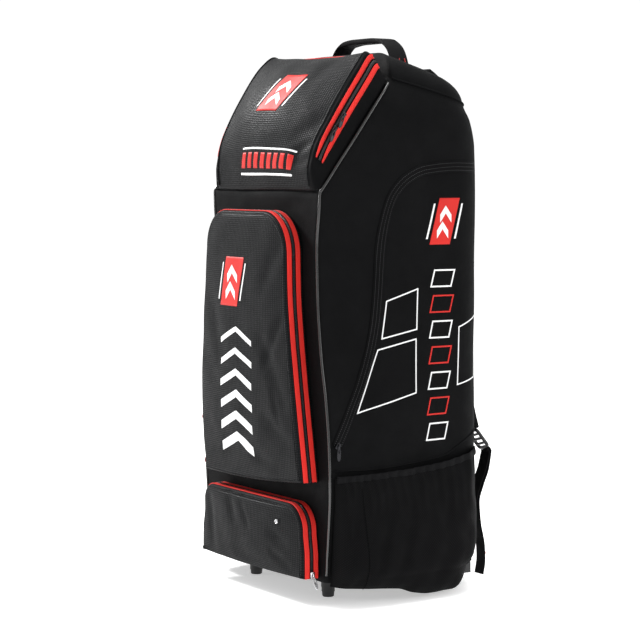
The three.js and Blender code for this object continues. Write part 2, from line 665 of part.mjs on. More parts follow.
function addLid() {
  addPiece("lid_pocket", lidSolid(), COATED);
  addPiece("lid_tape_outer", lidBand(...LID_TAPE_SHARES.outer, TAPE_THICK), RED_TAPE);
  addPiece("lid_zip", lidBand(...LID_TAPE_SHARES.coil, COIL_THICK), ZIP);
  addPiece("lid_tape_inner", lidBand(...LID_TAPE_SHARES.inner, TAPE_THICK), RED_TAPE);
  const row = LID_ROWS[LID_SLIDER_ROW];
  const down = unit(LID_PULL_LEAN);
  const coilMiddle = (LID_TAPE_SHARES.coil[0] + LID_TAPE_SHARES.coil[1]) / 2;
  LID_SLIDER_SHARES.forEach((share, i) => {
    const p = lidSide(row, coilMiddle, BAND_LIFT + GAP + COIL_THICK);
    const place = onSlope(p.x + BAND_BACK_LIFT, share * slopeLength, p.h);
    addPiece("lid_slider_" + (i + 1), slider(place, slopeRun, slopeUp, down, [1, 0, 0]), METAL);
  });
}

// Where the body's right side lies, at a depth and a height.
const sideFirst = FRONT_STEPS / 2;
const sideEnd = sideFirst + CORNER_STEPS + SIDE_STEPS + BACK_CORNER_STEPS + 1;
const sideRings = BODY_ROWS.map((row) =>
  bodyRing(row, 0).slice(sideFirst, sideEnd).map(([x, y, z]) => ({ x, y, z })));
function sideX(y, z) {
  const crossing = sideRings.map((ring) => ({ z: read(ring, "y", "z", y), x: read(ring, "y", "x", y) }));
  return read(crossing, "z", "x", z);
}

// The pouch's shape: along its length, and down from its mouth. out is a share of the bulge.
const POUCH_LENGTHWISE = [
  { at: 0.0, out: 0.0 },
  { at: 0.025, out: 0.62 },
  { at: 0.06, out: 0.9 },
  { at: 0.14, out: 0.97 },
  { at: 0.3, out: 1.0 },
  { at: 0.72, out: 1.0 },
  { at: 0.86, out: 0.8 },
  { at: 0.95, out: 0.42 },
  { at: 1.0, out: 0.0 },
];
const POUCH_DOWN = [
  { down: 0.0, out: 0.0 },
  { down: 0.1, out: 0.2 },
  { down: 0.24, out: 0.42 },
  { down: 0.42, out: 0.66 },
  { down: 0.62, out: 0.86 },
  { down: 0.8, out: 1.0 },
  { down: 0.92, out: 0.9 },
  { down: 1.0, out: 0.5 },
  { down: 0.985, out: 0.16 },
  { down: 0.9, out: 0.0 },
];
const POUCH_FOOT = [
  { at: 0.0, lift: 12 },
  { at: 0.2, lift: 6 },
  { at: 0.38, lift: 0 },
  { at: 0.48, lift: -10 },
  { at: 0.58, lift: -15 },
  { at: 0.75, lift: -15 },
  { at: 0.9, lift: 2 },
  { at: 1.0, lift: 20 },
];
const POUCH_RISE = 26; // the pouch's mouth rises towards the back
const POUCH_STEPS = 18;
const MOUTH_SPREAD = 1.6; // how soon the mouth stands off fully from either end
const MOUTH_FADE = 3; // how soon its gap closes on the way down
const GATHER_FADE = 1.6; // how soon the gathers end on the way down
const PIPING_CLEARANCE = 7; // front wall to the pouch's front edge

function pouchPoint(side, share, row, off) {
  const y = PIPING_CLEARANCE + share * POUCH_LENGTH;
  const topZ = POUCH_TOP_Z + POUCH_RISE * share ** 3;
  const footZ = POUCH_BOTTOM_Z + read(POUCH_FOOT, "at", "lift", share);
  const z = topZ - row.down * (topZ - footZ);
  const swell = read(POUCH_LENGTHWISE, "at", "out", share);
  const mouth = MOUTH_GAP * Math.min(1, swell * MOUTH_SPREAD) * Math.max(0, 1 - row.down * MOUTH_FADE);
  const fade = swell * Math.max(0, 1 - row.down * GATHER_FADE);
  const gather = GATHER_DEPTH * Math.cos(2 * Math.PI * GATHERS * share) * fade;
  const lift = GAP + POUCH_WALL + POUCH_BULGE * row.out * swell + mouth + gather;
  return [side * (sideX(y, Math.max(z, POUCH_SEAT_Z)) + lift - off), y, z];
}

function addPouch(side, name) {
  const grid = (off) => Array.from({ length: POUCH_STEPS + 1 }, (_, i) =>
    POUCH_DOWN.map((row) => pouchPoint(side, i / POUCH_STEPS, row, off)));
  const thick = sheet(grid(0), grid(POUCH_WALL));
  const cut = thick.subtract(bodySolid.translate([side * GAP, 0, 0])).subtract(housingForm(side, GAP));
  const parts = cut.decompose().sort((a, b) => b.volume() - a.volume());
  addPiece("side_pouch_" + name, parts[0], POUCH_CLOTH);
}

// The welt along a front edge, from the base to the seam and on up the slope.
function addPiping(side, name) {
  const rows = BODY_ROWS.slice(2, -1);
  const path = rows.map((row) => {
    const ring = bodyRing(row, 0);
    const corner = ring[FRONT_STEPS / 2 + CORNER_STEPS / 2];
    const lean = row.front > 1 ? slopeRun : [0, 0, 1];
    const outward = unit([1, -lean[2], lean[1]]);
    const [x, y, z] = along(corner, [outward, PIPING_RADIUS + PIPING_LIFT]);
    return [side * x, y, z];
  });
  addPiece("piping_" + name, cord(path, PIPING_RADIUS, 6), PLASTIC);
}

// The storm flap over the long side zip, as a curve on the side panel. back is a share of the body's depth
// and up a share of its height from the base to the top edge.
const FLAP_ROUTE = [
  { back: 0.9075, up: 0.8225 },
  { back: 0.7821, up: 0.8237 },
  { back: 0.597, up: 0.8177 },
  { back: 0.4776, up: 0.7986 },
  { back: 0.391, up: 0.7578 },
  { back: 0.3463, up: 0.6835 },
  { back: 0.3284, up: 0.5923 },
  { back: 0.3045, up: 0.5204 },
  { back: 0.2687, up: 0.4604 },
  { back: 0.2119, up: 0.4005 },
  { back: 0.1433, up: 0.3453 },
  { back: 0.0448, up: 0.2758 },
];
const FLAP_STEPS = 20;
const FLAP_SINK = 1; // the flap's foot runs this far into the side before it is seated on it
const FLAP_BEVEL = 2;

function addSideZip(side, name) {
  const spots = FLAP_ROUTE.map(({ back, up }) => [0, back * BODY_DEPTH, BASE_Z + up * (TOP_Z - BASE_Z)]);
  const route = smooth(spots, FLAP_STEPS);
  const path = route.map(([, y, z]) => [side * (sideX(y, z) + GAP + FLAP_THICK / 2), y, z]);
  const rings = path.map((p, i) => {
    const run = unit(minus(path[Math.min(i + 1, path.length - 1)], path[Math.max(i - 1, 0)]));
    const lie = unit(cross(run, [side, 0, 0]));
    const edge = (shift, deep) => {
      const q = along(p, [lie, shift]);
      return [side * (sideX(q[1], q[2]) + GAP + deep), q[1], q[2]];
    };
    const half = FLAP_WIDTH / 2;
    const face = half - FLAP_BEVEL;
    return [edge(-half, -FLAP_SINK), edge(half, -FLAP_SINK), edge(face, FLAP_THICK), edge(-face, FLAP_THICK)];
  });
  const cut = loft(rings).subtract(bodySolid.translate([side * GAP, 0, 0]));
  const parts = cut.decompose().sort((a, b) => b.volume() - a.volume());
  addPiece("side_zip_" + name, parts[0], ZIP);
  const end = path[path.length - 1];
  const run = unit(minus(end, path[path.length - 3]));
  const place = [side * (sideX(end[1], end[2]) + FLAP_THICK + SLIDER_LIFT), end[1], end[2]];
  const across = unit(cross(run, [side, 0, 0]));
  const turned = unit(cross(across, [side, 0, 0]));
  addPiece("side_slider_" + name, slider(place, turned, across, [0, 0, -1], [side, 0, 0]), METAL);
}

// The grab handle: a webbing arch over the top, thicker at its grip.
const HANDLE_ROUTE = [
  { out: 1.06, up: 0.0 },
  { out: 1.02, up: 0.12 },
  { out: 0.97, up: 0.4 },
  { out: 0.82, up: 0.78 },
  { out: 0.58, up: 0.96 },
  { out: 0.25, up: 1.0 },
];
function addHandle() {
  const rise = TOP_CROWN + HANDLE_RISE - HANDLE_THICK / 2;
  const middleY = TOP_SETBACK + HANDLE_BACK;
  const half = HANDLE_ROUTE.map(({ out, up }) => [HANDLE_HALF * out, middleY, TOP_Z + rise * up]);
  const path = smooth([...half, ...[...half].reverse().map(([x, y, z]) => [-x, y, z])], 30);
  const thick = (share) => (share > GRIP[0] && share < GRIP[1] ? HANDLE_THICK : HANDLE_END_THICK);
  const strip = band(path, [0, 1, 0], HANDLE_WIDTH, thick);
  const parts = strip.subtract(bodySolid.translate([0, 0, GAP])).decompose();
  parts.sort((a, b) => b.volume() - a.volume());
  addPiece("handle", parts[0], CLOTH);
}

// The shoulder straps: padded, from the top over the back edge and down to the buckle. back is measured
// from the back wall and up from the top edge at the back, as shares of the standoff and the strap's drop.
const STRAP_ROUTE = [
  { back: -3.4, up: 0.112, out: 0 },
  { back: -2.4, up: 0.09, out: 0 },
  { back: -1.2, up: 0.045, out: 0 },
  { back: -0.1, up: -0.035, out: 0 },
  { back: 0.55, up: -0.13, out: 0.02 },
  { back: 1.0, up: -0.27, out: 0.05 },
  { back: 1.12, up: -0.46, out: 0.12 },
  { back: 0.9, up: -0.68, out: 0.2 },
  { back: 0.55, up: -0.87, out: 0.5 },
  { back: 0.85, up: -1.0, out: 0.86 },
];
const STRAP_STEPS = 18;
const strapTopZ = TOP_Z - BACK_DROP;
const strapDrop = strapTopZ - STRAP_BOTTOM_Z;

// The webbing runs from the buckle to the back wall's foot, and its tail hangs outside it. back is measured
// from the back wall in standoffs, and down from the pad's lower end as a share of its height.
const WEBBING_ROUTE = [
  { back: 1.647, down: 0.2519 },
  { back: 0.882, down: 0.3664 },
  { back: 0.353, down: 0.4733 },
  { back: 0.082, down: 0.5725 },
  { back: -0.082, down: 0.6565 },
];
const TAIL_ROUTE = [
  { back: 1.941, down: 0.2595 },
  { back: 1.265, down: 0.3664 },
  { back: 0.765, down: 0.4733 },
  { back: 0.941, down: 0.6107 },
  { back: 1.471, down: 0.7786 },
  { back: 1.529, down: 0.8702 },
];
const TAIL_END_BACK = 22;
const WEBBING_STEPS = 12;

function addStrap(side, name) {
  const topX = STRAP_TOP_X;
  const lowX = BODY_HALF - STRAP_LOW_INSET;
  const points = STRAP_ROUTE.map(({ back, up, out }) => [
    side * (topX + (lowX - topX) * out),
    BODY_DEPTH + back * STRAP_STANDOFF,
    strapTopZ + up * strapDrop,
  ]);
  const path = smooth(points, STRAP_STEPS);
  const seat = bodySolid.translate([0, GAP, GAP]);
  const taper = (share) => STRAP_WIDTH * Math.min(1, 1 - (share - STRAP_TAPER.from) * STRAP_TAPER.slope);
  const pad = band(path, [1, 0, 0], taper, STRAP_THICK).subtract(seat);
  const parts = pad.decompose().sort((a, b) => b.volume() - a.volume());
  addPiece("shoulder_strap_" + name, parts[0], CLOTH);
  const end = path[path.length - 1];
  const run = unit(minus(end, path[path.length - 2]));
  const hang = unit(along(run, [[0, 1, 0], BUCKLE_TILT]));
  const across = unit(cross(cross(hang, [1, 0, 0]), hang));
  const middle = along(end, [hang, BUCKLE_HEIGHT / 2]);
  const frame = turnedBlock(middle, hang, across, [BUCKLE_HEIGHT, BUCKLE_WIDTH, BUCKLE_THICK])
    .subtract(parts[0].translate(run.map((v) => v * GAP)));
  const slot = (shift) => turnedBlock(along(middle, [hang, shift]), hang, across,
    [BUCKLE_SLOT, WEBBING_WIDTH + 1, BUCKLE_THICK * 2]);
  const buckle = BUCKLE_SLOT_AT.reduce((solid, shift) => solid.subtract(slot(shift)), frame);
  addPiece("buckle_" + name, buckle, PLASTIC);
  const outward = unit([0, -hang[2], hang[1]]);
  const strip = (apart, rows) => {
    const first = along(middle, [hang, BUCKLE_HEIGHT / 2 + GAP], [outward, apart]);
    const lead = along(first, [hang, WEBBING_LEAD]);
    const rest = rows.map(({ back, down }) => [
      lead[0], BODY_DEPTH + back * STRAP_STANDOFF, STRAP_BOTTOM_Z * (1 - down)]);
    const run = [first, ...smooth([lead, ...rest], WEBBING_STEPS)];
    return band(run, [1, 0, 0], WEBBING_WIDTH, WEBBING_THICK).subtract(bodySolid.translate([0, GAP, 0]));
  };
  addPiece("strap_webbing_" + name, strip(-WEBBING_APART, WEBBING_ROUTE), CLOTH);
  const tailEnd = { back: TAIL_END_BACK / STRAP_STANDOFF, down: 1 - TAIL_END_Z / STRAP_BOTTOM_Z };
  addPiece("strap_tail_" + name, strip(WEBBING_APART, [...TAIL_ROUTE, tailEnd]), CLOTH);
}

function addFoot(side, name) {
  const shape = new THREE.CylinderGeometry(FOOT_TOP / 2, FOOT_BOTTOM / 2, BASE_Z - GAP, 12);
  shape.rotateX(Math.PI / 2);
  shape.translate(side * (BODY_HALF - FOOT_INSET), FOOT_Y, (BASE_Z - GAP) / 2);
  addPiece("foot_" + name, solidFrom(shape), PLASTIC);
}

// A wheel in its housing, on an axle held by the housing's two cheeks.
function addWheel(side, name) {
  const centre = wheelAt(side);
  const well = bar(centre, WHEEL_RADIUS + WHEEL_GAP, 2 * wellHalf, 24);
  const mouthLow = [centre[0] - wellHalf, centre[1] - WHEEL_RADIUS - WHEEL_GAP, 0];
  const mouthHigh = [centre[0] + wellHalf, centre[1] + WHEEL_RADIUS + WHEEL_GAP, WHEEL_RADIUS];
  const hole = bar(centre, AXLE_RADIUS + GAP, 4 * housingHalf, 20);
  const housing = housingForm(side, 0).subtract(well).subtract(block(mouthLow, mouthHigh)).subtract(hole);
  addPiece("wheel_housing_" + name, housing, PLASTIC);
  addPiece("axle_" + name, bar(centre, AXLE_RADIUS, 2 * housingHalf, 20), METAL);
  const half = WHEEL_WIDTH / 2;
  const bore = AXLE_RADIUS + AXLE_PLAY;
  const [shoulder, slope] = TREAD_ROUND;
  const flank = [
    [bore, half],
    [bore + HUB_WALL, half],
    [WHEEL_RADIUS - TREAD_DEPTH, half - DISC_SETBACK],
    [WHEEL_RADIUS - TREAD_DEPTH + shoulder, half],
    [WHEEL_RADIUS - shoulder, half],
    [WHEEL_RADIUS, half - slope],
  ];
  const profile = [...flank.map(([r, x]) => [r, -x]), ...[...flank].reverse(), [bore, -half]];
  const shape = new THREE.LatheGeometry(profile.map(([r, x]) => new THREE.Vector2(r, x)), 22);
  shape.rotateZ(Math.PI / 2);
  shape.translate(...centre);
  addPiece("wheel_" + name, solidFrom(shape), RUBBER);
}

// The small metal on the pockets: pulls on the front pocket's left side, one at the lower pocket's corner,
// and the snap in its face.
const LEFT_PULLS = [{ up: 0.215 }, { up: 0.04 }];
const LEFT_PULL_LEAN = [-0.25, -0.3, -0.9];
const LOW_PULL_LEAN = [0.45, 0, -0.8];
const LOW_PULL_RISE = 6; // the lower slider above the pocket's lower corner
// The snap's place across and up the lower pocket, and the crown of the pocket's face there.
const RIVET = { x: 100, up: 0.73, face: 7.1 };
function addPocketMetal() {
  const coilY = (pocket) => -(pocket.proud * POCKET_SIDE_SHARE - TAPE_WIDTH - GAP - COIL_WIDTH / 2);
  const leftRun = pocketRun(FRONT_POCKET, 0).filter(([x]) => x < 0).reverse();
  const arm = leftRun.map(([x, height]) => ({ x, height }));
  LEFT_PULLS.forEach(({ up }, i) => {
    const z = FRONT_POCKET.z[0] + up * (FRONT_POCKET.z[1] - FRONT_POCKET.z[0]);
    const place = [read(arm, "height", "x", z) - COIL_THICK - SLIDER_LIFT, coilY(FRONT_POCKET), z];
    const pull = slider(place, [0, 0, 1], [0, 1, 0], unit(LEFT_PULL_LEAN), [-1, 0, 0]);
    addPiece("front_slider_" + (i + 1), pull, METAL);
  });
  const cornerX = LOWER_POCKET.sides[0].right * BODY_HALF + COIL_THICK + 2 * GAP;
  const corner = [cornerX, coilY(LOWER_POCKET), LOWER_POCKET.z[0] + LOW_PULL_RISE];
  const lowPull = slider(corner, [0, 0, 1], [0, 1, 0], unit(LOW_PULL_LEAN), [1, 0, 0]);
  addPiece("lower_slider", lowPull, METAL);
  const shape = new THREE.CylinderGeometry(RIVET_RADIUS, RIVET_RADIUS, LOWER_POCKET.proud, 12);
  const z = LOWER_POCKET.z[0] + RIVET.up * (LOWER_POCKET.z[1] - LOWER_POCKET.z[0]);
  shape.translate(RIVET.x, -LOWER_POCKET.proud / 2 - RIVET_PROUD - RIVET.face, z);
  const seat = pocketForm(LOWER_POCKET, 0, 0).translate([0, -GAP, 0]);
  const parts = solidFrom(shape).subtract(seat).decompose();
  parts.sort((a, b) => a.boundingBox().min[1] - b.boundingBox().min[1]);
  addPiece("pocket_rivet", parts[0], METAL);
}

addBody();
addLid();
addPocket("front_pocket", FRONT_POCKET);
addPocketZip("front", FRONT_POCKET);
addPocket("lower_pocket", LOWER_POCKET);
addPocketZip("lower", LOWER_POCKET);
addPocketMetal();
addHandle();
for (const [side, name] of [[1, "right"], [-1, "left"]]) {
  addPouch(side, name);
  addPiping(side, name);
  addSideZip(side, name);
  addStrap(side, name);
  addFoot(side, name);
  addWheel(side, name);
}

// The origin is the middle of the bag's box, on the floor.
const box = new THREE.Box3().setFromObject(bag);
const middle = box.getCenter(new THREE.Vector3());
bag.position.set(-middle.x, -middle.y, -box.min.z);

export default bag;
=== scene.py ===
import math

import bmesh
import bpy
import numpy as np
from bpy.props import FloatProperty, FloatVectorProperty, IntProperty, PointerProperty
from bpy.types import Operator, Panel, PropertyGroup
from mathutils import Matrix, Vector


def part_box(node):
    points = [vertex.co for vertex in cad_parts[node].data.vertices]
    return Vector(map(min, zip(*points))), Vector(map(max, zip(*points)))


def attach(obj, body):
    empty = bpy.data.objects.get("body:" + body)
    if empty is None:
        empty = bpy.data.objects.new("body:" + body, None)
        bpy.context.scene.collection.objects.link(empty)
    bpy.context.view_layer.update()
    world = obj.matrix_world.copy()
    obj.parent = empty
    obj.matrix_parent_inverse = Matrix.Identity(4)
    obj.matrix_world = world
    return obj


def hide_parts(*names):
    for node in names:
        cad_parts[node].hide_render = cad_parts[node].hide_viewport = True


bl_info = {
    "name": "Cricket kit bag",
    "version": (1, 0, 0),
    "blender": (4, 5, 0),
    "location": "View3D > Sidebar > Kit Bag",
    "description": "Builds the cloth, trims, straps and running gear of a stand-up wheeled kit bag",
    "category": "Add Mesh",
}

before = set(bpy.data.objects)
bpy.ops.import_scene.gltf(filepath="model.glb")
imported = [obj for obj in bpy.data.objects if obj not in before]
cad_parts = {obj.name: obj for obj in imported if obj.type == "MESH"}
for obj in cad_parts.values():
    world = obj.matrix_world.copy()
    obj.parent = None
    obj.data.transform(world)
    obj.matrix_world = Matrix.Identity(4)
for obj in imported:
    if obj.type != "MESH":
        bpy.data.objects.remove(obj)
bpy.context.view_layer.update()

# Sizes in metres. The working frame has its Y zero at the bag's front wall, and place() shifts it home.
MM = 0.001
GAP = 0.3 * MM
SHELL_LOW, SHELL_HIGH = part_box("body_shell")
WALL_Y = SHELL_LOW.y
BODY_DEPTH = SHELL_HIGH.y - SHELL_LOW.y
BASE_Z = SHELL_LOW.z
BODY_HALF = 203 * MM
SEAM_Z = 680 * MM
TOP_Z = 870 * MM
TOP_SETBACK = 142 * MM
BACK_DROP = 46 * MM
TOP_CROWN = SHELL_HIGH.z - TOP_Z
BODY_WALL = 3 * MM
FRONT_RADIUS = 9 * MM
BACK_RADIUS = 72 * MM
CORNER_LIMIT = 2.6  # the shell's depth over the largest back corner that fits in it
SIDE_FULLNESS = 5 * MM
MOUTH_HALF = 138 * MM
MOUTH_MARGIN = 26 * MM

LID_HEIGHT = 52 * MM
LID_CROWN = 17 * MM
LID_BASE_HALF = 168 * MM
LID_TOP_HALF = 153 * MM
LID_OVERHANG = 20 * MM
LID_WALL = 2.5 * MM

POCKET_WALL = 2.2 * MM
POCKET_CROWN = 9 * MM
POCKET_SIDE_SHARE = 0.86
TAPE_WIDTH = 9 * MM
TAPE_THICK = 1.4 * MM
COIL_WIDTH = 7 * MM
COIL_THICK = 2.2 * MM

POUCH_BULGE = 48 * MM
POUCH_TOP_Z = 214 * MM
POUCH_BOTTOM_Z = 22 * MM
POUCH_LENGTH = 308 * MM
POUCH_WALL = 1.6 * MM
POUCH_RISE = 26 * MM
POUCH_FRONT = 7 * MM
POUCH_SEAT_Z = 48 * MM
MOUTH_GAP = 9 * MM

PIPING_RADIUS = 2.3 * MM
PIPING_LIFT = 0.8 * MM
FLAP_WIDTH = 19 * MM
FLAP_THICK = 2.2 * MM

HANDLE_LOW, HANDLE_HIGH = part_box("handle")
HANDLE_Y = (HANDLE_LOW.y + HANDLE_HIGH.y) / 2 - WALL_Y
HANDLE_HALF = 98 * MM
HANDLE_WIDTH = 36 * MM
STRAP_WIDTH = 62 * MM
STRAP_THICK = 12 * MM
STRAP_BOTTOM_Z = 262 * MM
STRAP_X = (64 * MM, 132 * MM)
STRAP_STANDOFF = 17 * MM
WEBBING_WIDTH = 25 * MM
WEBBING_THICK = 1.8 * MM
BUCKLE_HEIGHT = 40 * MM
BUCKLE_WIDTH = 36 * MM
BUCKLE_THICK = 8 * MM
BUCKLE_TILT = 0.5
WELD = 2e-6  # points nearer than this are one

SIDES = (("right", 1), ("left", -1))


def rows(names, *lines):
    """A table: one dict for each line, with its row number under the name row."""
    keys = names.split()
    return [{"row": float(i), **dict(zip(keys, line))} for i, line in enumerate(lines)]


BODY = rows(
    "front back inFront inBack frontHalf backHalf",
    (0.0, 0.0, 0.05, 0.24, 0.82, 0.8),
    (0.004, 0.012, 0.01, 0.13, 0.92, 0.9),
    (0.025, 0.045, 0.0, 0.05, 0.945, 0.945),
    (0.07, 0.1, 0.0, 0.01, 0.955, 0.96),
    (0.15, 0.16, 0.0, 0.0, 0.98, 0.965),
    (0.24, 0.24, 0.0, 0.0, 1.0, 0.965),
    (0.35, 0.35, 0.0, 0.0, 0.985, 0.965),
    (0.47, 0.47, 0.0, 0.0, 0.94, 0.965),
    (0.58, 0.58, 0.0, 0.0, 0.872, 0.965),
    (0.73, 0.73, 0.0, 0.0, 0.818, 0.965),
    (0.86, 0.86, 0.0, 0.0, 0.808, 0.965),
    (1.0, 1.0, 0.0, 0.0, 0.85, 0.965),
    (1.3, 1.22, 0.0, 0.0, 0.862, 0.965),
    (1.6, 1.5, 0.0, 0.0, 0.865, 0.96),
    (1.85, 1.8, 0.0, 0.02, 0.86, 0.94),
    (2.0, 2.0, 0.01, 0.055, 0.82, 0.89),
)
CROWN = rows("spread rise", (1.0, 0.0), (0.985, 0.22), (0.95, 0.46), (0.83, 0.82), (0.56, 1.0), (0.2, 1.0),
             (0.0, 1.0))
LID = rows(
    "base top over high crown left half",
    (0.012, 0.012, 0.0, 0.09, 0.0, 1.0, 1.0),
    (0.04, 0.06, 0.0, 0.31, 0.2, 1.0, 1.0),
    (0.1, 0.13, 0.0, 0.58, 0.5, 1.03, 1.0),
    (0.17, 0.2, 0.0, 0.72, 0.8, 1.08, 1.0),
    (0.3, 0.33, 0.0, 0.87, 1.1, 1.14, 1.0),
    (0.45, 0.48, 0.0, 0.94, 1.25, 1.2, 1.0),
    (0.65, 0.69, 0.0, 1.0, 1.1, 1.22, 1.0),
    (0.82, 0.87, 0.2, 1.03, 0.6, 1.18, 1.0),
    (0.92, 0.96, 0.6, 1.04, -0.1, 1.1, 0.99),
    (0.955, 0.98, 0.9, 1.0, -0.35, 1.06, 0.98),
    (0.975, 0.99, 1.0, 0.88, -0.35, 1.04, 0.97),
)
LID_SIDE = rows("up out", (0.0, 1.0), (0.3, 0.72), (0.68, 0.4), (0.92, 0.12), (1.0, -0.2))
POCKETS = {
    "front": {
        "node": "front_pocket", "z": (206 * MM, 648 * MM), "proud": 36 * MM, "bow": 6 * MM, "drop": 13 * MM,
        "radii": (70 * MM, 60 * MM),
        "sides": rows("up right left", (0.0, 0.84, 0.71), (0.12, 0.795, 0.755), (0.25, 0.745, 0.775),
                      (0.4, 0.69, 0.765), (0.55, 0.64, 0.74), (0.7, 0.605, 0.71), (0.85, 0.595, 0.675)),
    },
    "lower": {
        "node": "lower_pocket", "z": (46 * MM, 166 * MM), "proud": 32 * MM, "bow": 3 * MM, "drop": 0.0,
        "radii": (44 * MM, 26 * MM),
        "sides": rows("up right left", (0.0, 0.83, 0.8), (0.3, 0.83, 0.8), (0.6, 0.805, 0.77)),
    },
}
POCKET_EDGE = rows("out draw", (0.0, 0.0), (0.5, 0.0), (0.86, 0.0), (0.95, 1.2), (0.985, 3.2), (1.0, 6.0))
POUCH_LENGTHWISE = rows("at out", (0.0, 0.0), (0.025, 0.62), (0.06, 0.9), (0.14, 0.97), (0.3, 1.0),
                        (0.72, 1.0), (0.86, 0.8), (0.95, 0.42), (1.0, 0.0))
POUCH_DOWN = rows("down out", (0.0, 0.0), (0.1, 0.2), (0.24, 0.42), (0.42, 0.66), (0.62, 0.86), (0.8, 1.0),
                  (0.92, 0.9), (1.0, 0.5), (0.985, 0.16), (0.9, 0.0))
POUCH_FOOT = rows("at lift", (0.0, 12.0), (0.2, 6.0), (0.38, 0.0), (0.48, -10.0), (0.58, -15.0),
                  (0.75, -15.0), (0.9, 2.0), (1.0, 20.0))
FLAP_ROUTE = ((304, 722), (262, 723), (200, 718), (160, 702), (131, 668), (116, 606), (110, 530),
              (102, 470), (90, 420), (71, 370), (48, 324), (15, 266))
POUCH_SEAM_ROUTE = ((8, 226), (85, 223), (160, 227), (230, 234), (279, 256), (318, 272))
HANDLE_ROUTE = ((1.06, 0.0), (1.02, 0.12), (0.97, 0.4), (0.82, 0.78), (0.58, 0.96), (0.25, 1.0))
STRAP_ROUTE = ((-3.4, 0.112, 0.0), (-2.4, 0.09, 0.0), (-1.2, 0.045, 0.0), (-0.1, -0.035, 0.0),
               (0.55, -0.13, 0.02), (1.0, -0.27, 0.05), (1.12, -0.46, 0.12), (0.9, -0.68, 0.2),
               (0.55, -0.87, 0.5), (0.85, -1.0, 0.86))
WEBBING_ROUTE = ((28, 66), (15, 96), (6, 124), (1.4, 150), (-1.4, 172))
TAIL_ROUTE = ((33, 68), (21.5, 96), (13, 124), (16, 160), (25, 204), (26, 228), (22, 254))


class BagLooks(PropertyGroup):
    """The sizes and colours that a user would change."""

    cloth_colour: FloatVectorProperty(
        name="Body cloth", description="Colour of the woven side and back panels",
        subtype="COLOR", size=3, min=0, max=1, default=(0.0028, 0.0029, 0.0032))
    coated_colour: FloatVectorProperty(
        name="Coated cloth", description="Colour of the embossed lid and pocket panels",
        subtype="COLOR", size=3, min=0, max=1, default=(0.0028, 0.003, 0.0034))
    tape_colour: FloatVectorProperty(
        name="Zip tape", description="Colour of the ribbed tapes beside the zips",
        subtype="COLOR", size=3, min=0, max=1, default=(0.70, 0.022, 0.016))
    print_colour: FloatVectorProperty(
        name="Print", description="Colour of the light printed stripes",
        subtype="COLOR", size=3, min=0, max=1, default=(0.82, 0.82, 0.82))
    emboss_wide: FloatProperty(
        name="Emboss width", description="Width of one embossed cell",
        unit="LENGTH", default=4.6 * MM, min=1 * MM)
    emboss_high: FloatProperty(
        name="Emboss height", description="Height of one embossed cell",
        unit="LENGTH", default=3.4 * MM, min=1 * MM)
    stitch_pitch: FloatProperty(
        name="Stitch pitch", description="Length of one stitch with its gap",
        unit="LENGTH", default=3.6 * MM, min=1 * MM)
    tooth_pitch: FloatProperty(
        name="Zip tooth pitch", description="Distance between zip teeth",
        unit="LENGTH", default=2.3 * MM, min=0.5 * MM)
    tread_ribs: IntProperty(
        name="Tread ribs", description="Ribs round each wheel's tread", default=36, min=6)


def looks():
    """The bag's property group on the scene."""
    return bpy.context.scene.bag_looks


def read(table, key, column, value):
    """Reads a column of a table at values of its key column. Between two rows it is a cubic whose end
    slopes are the harmonic mean of the chords on either side, so it is smooth and never swings past the
    rows."""
    x = np.array([row[key] for row in table], float)
    y = np.array([row[column] for row in table], float)
    step, chord = np.diff(x), np.diff(y) / np.diff(x)
    slope = np.zeros_like(y)
    slope[0], slope[-1] = chord[0], chord[-1]
    before, after = chord[:-1], chord[1:]
    product = before * after
    total = np.where(product > 0, before + after, 1.0)
    slope[1:-1] = np.where(product > 0, 2 * product / total, 0.0)
    value = np.asarray(value, float)
    i = np.clip(np.searchsorted(x, value, side="right") - 1, 0, len(step) - 1)
    t = np.clip((value - x[i]) / step[i], 0, 1)
    return (y[i] * (1 + 2 * t) * (1 - t) ** 2 + slope[i] * step[i] * t * (1 - t) ** 2
            + y[i + 1] * t**2 * (3 - 2 * t) + slope[i + 1] * step[i] * t**2 * (t - 1))


def lengths(points):
    """How far along a polyline each of its points lies: the running sum of its steps' lengths."""
    return np.concatenate([[0], np.cumsum(np.linalg.norm(np.diff(points, axis=0), axis=1))])


def smooth_run(points, count):
    """A smooth run through chosen points: each coordinate is read against the chord length so far, with the
    cubic of read(), and sampled at equal steps."""
    points = np.asarray(points, float)
    gone = lengths(points)
    table = [{"s": s, **{str(k): p[k] for k in range(points.shape[1])}} for s, p in zip(gone, points)]
    at = np.linspace(0, gone[-1], count)
    return np.stack([read(table, "s", str(k), at) for k in range(points.shape[1])], -1)


def even_count(points, count):
    """The same polyline walked in a chosen number of equal steps, straight between its points."""
    gone = lengths(points)
    at = np.linspace(0, gone[-1], count)
    return np.stack([np.interp(at, gone, points[:, k]) for k in range(points.shape[1])], -1)


def even_run(points, step):
    """The same polyline walked at equal steps of about the given length."""
    return even_count(points, max(2, int(round(lengths(points)[-1] / step)) + 1))


def unit(v):
    """Each vector divided by its own length."""
    return v / np.maximum(np.linalg.norm(v, axis=-1, keepdims=True), 1e-12)


def grid_normals(points):
    """The normal at each point of a grid: the cross product of the grid's two directions there."""
    return unit(np.cross(np.gradient(points, axis=1), np.gradient(points, axis=0)))


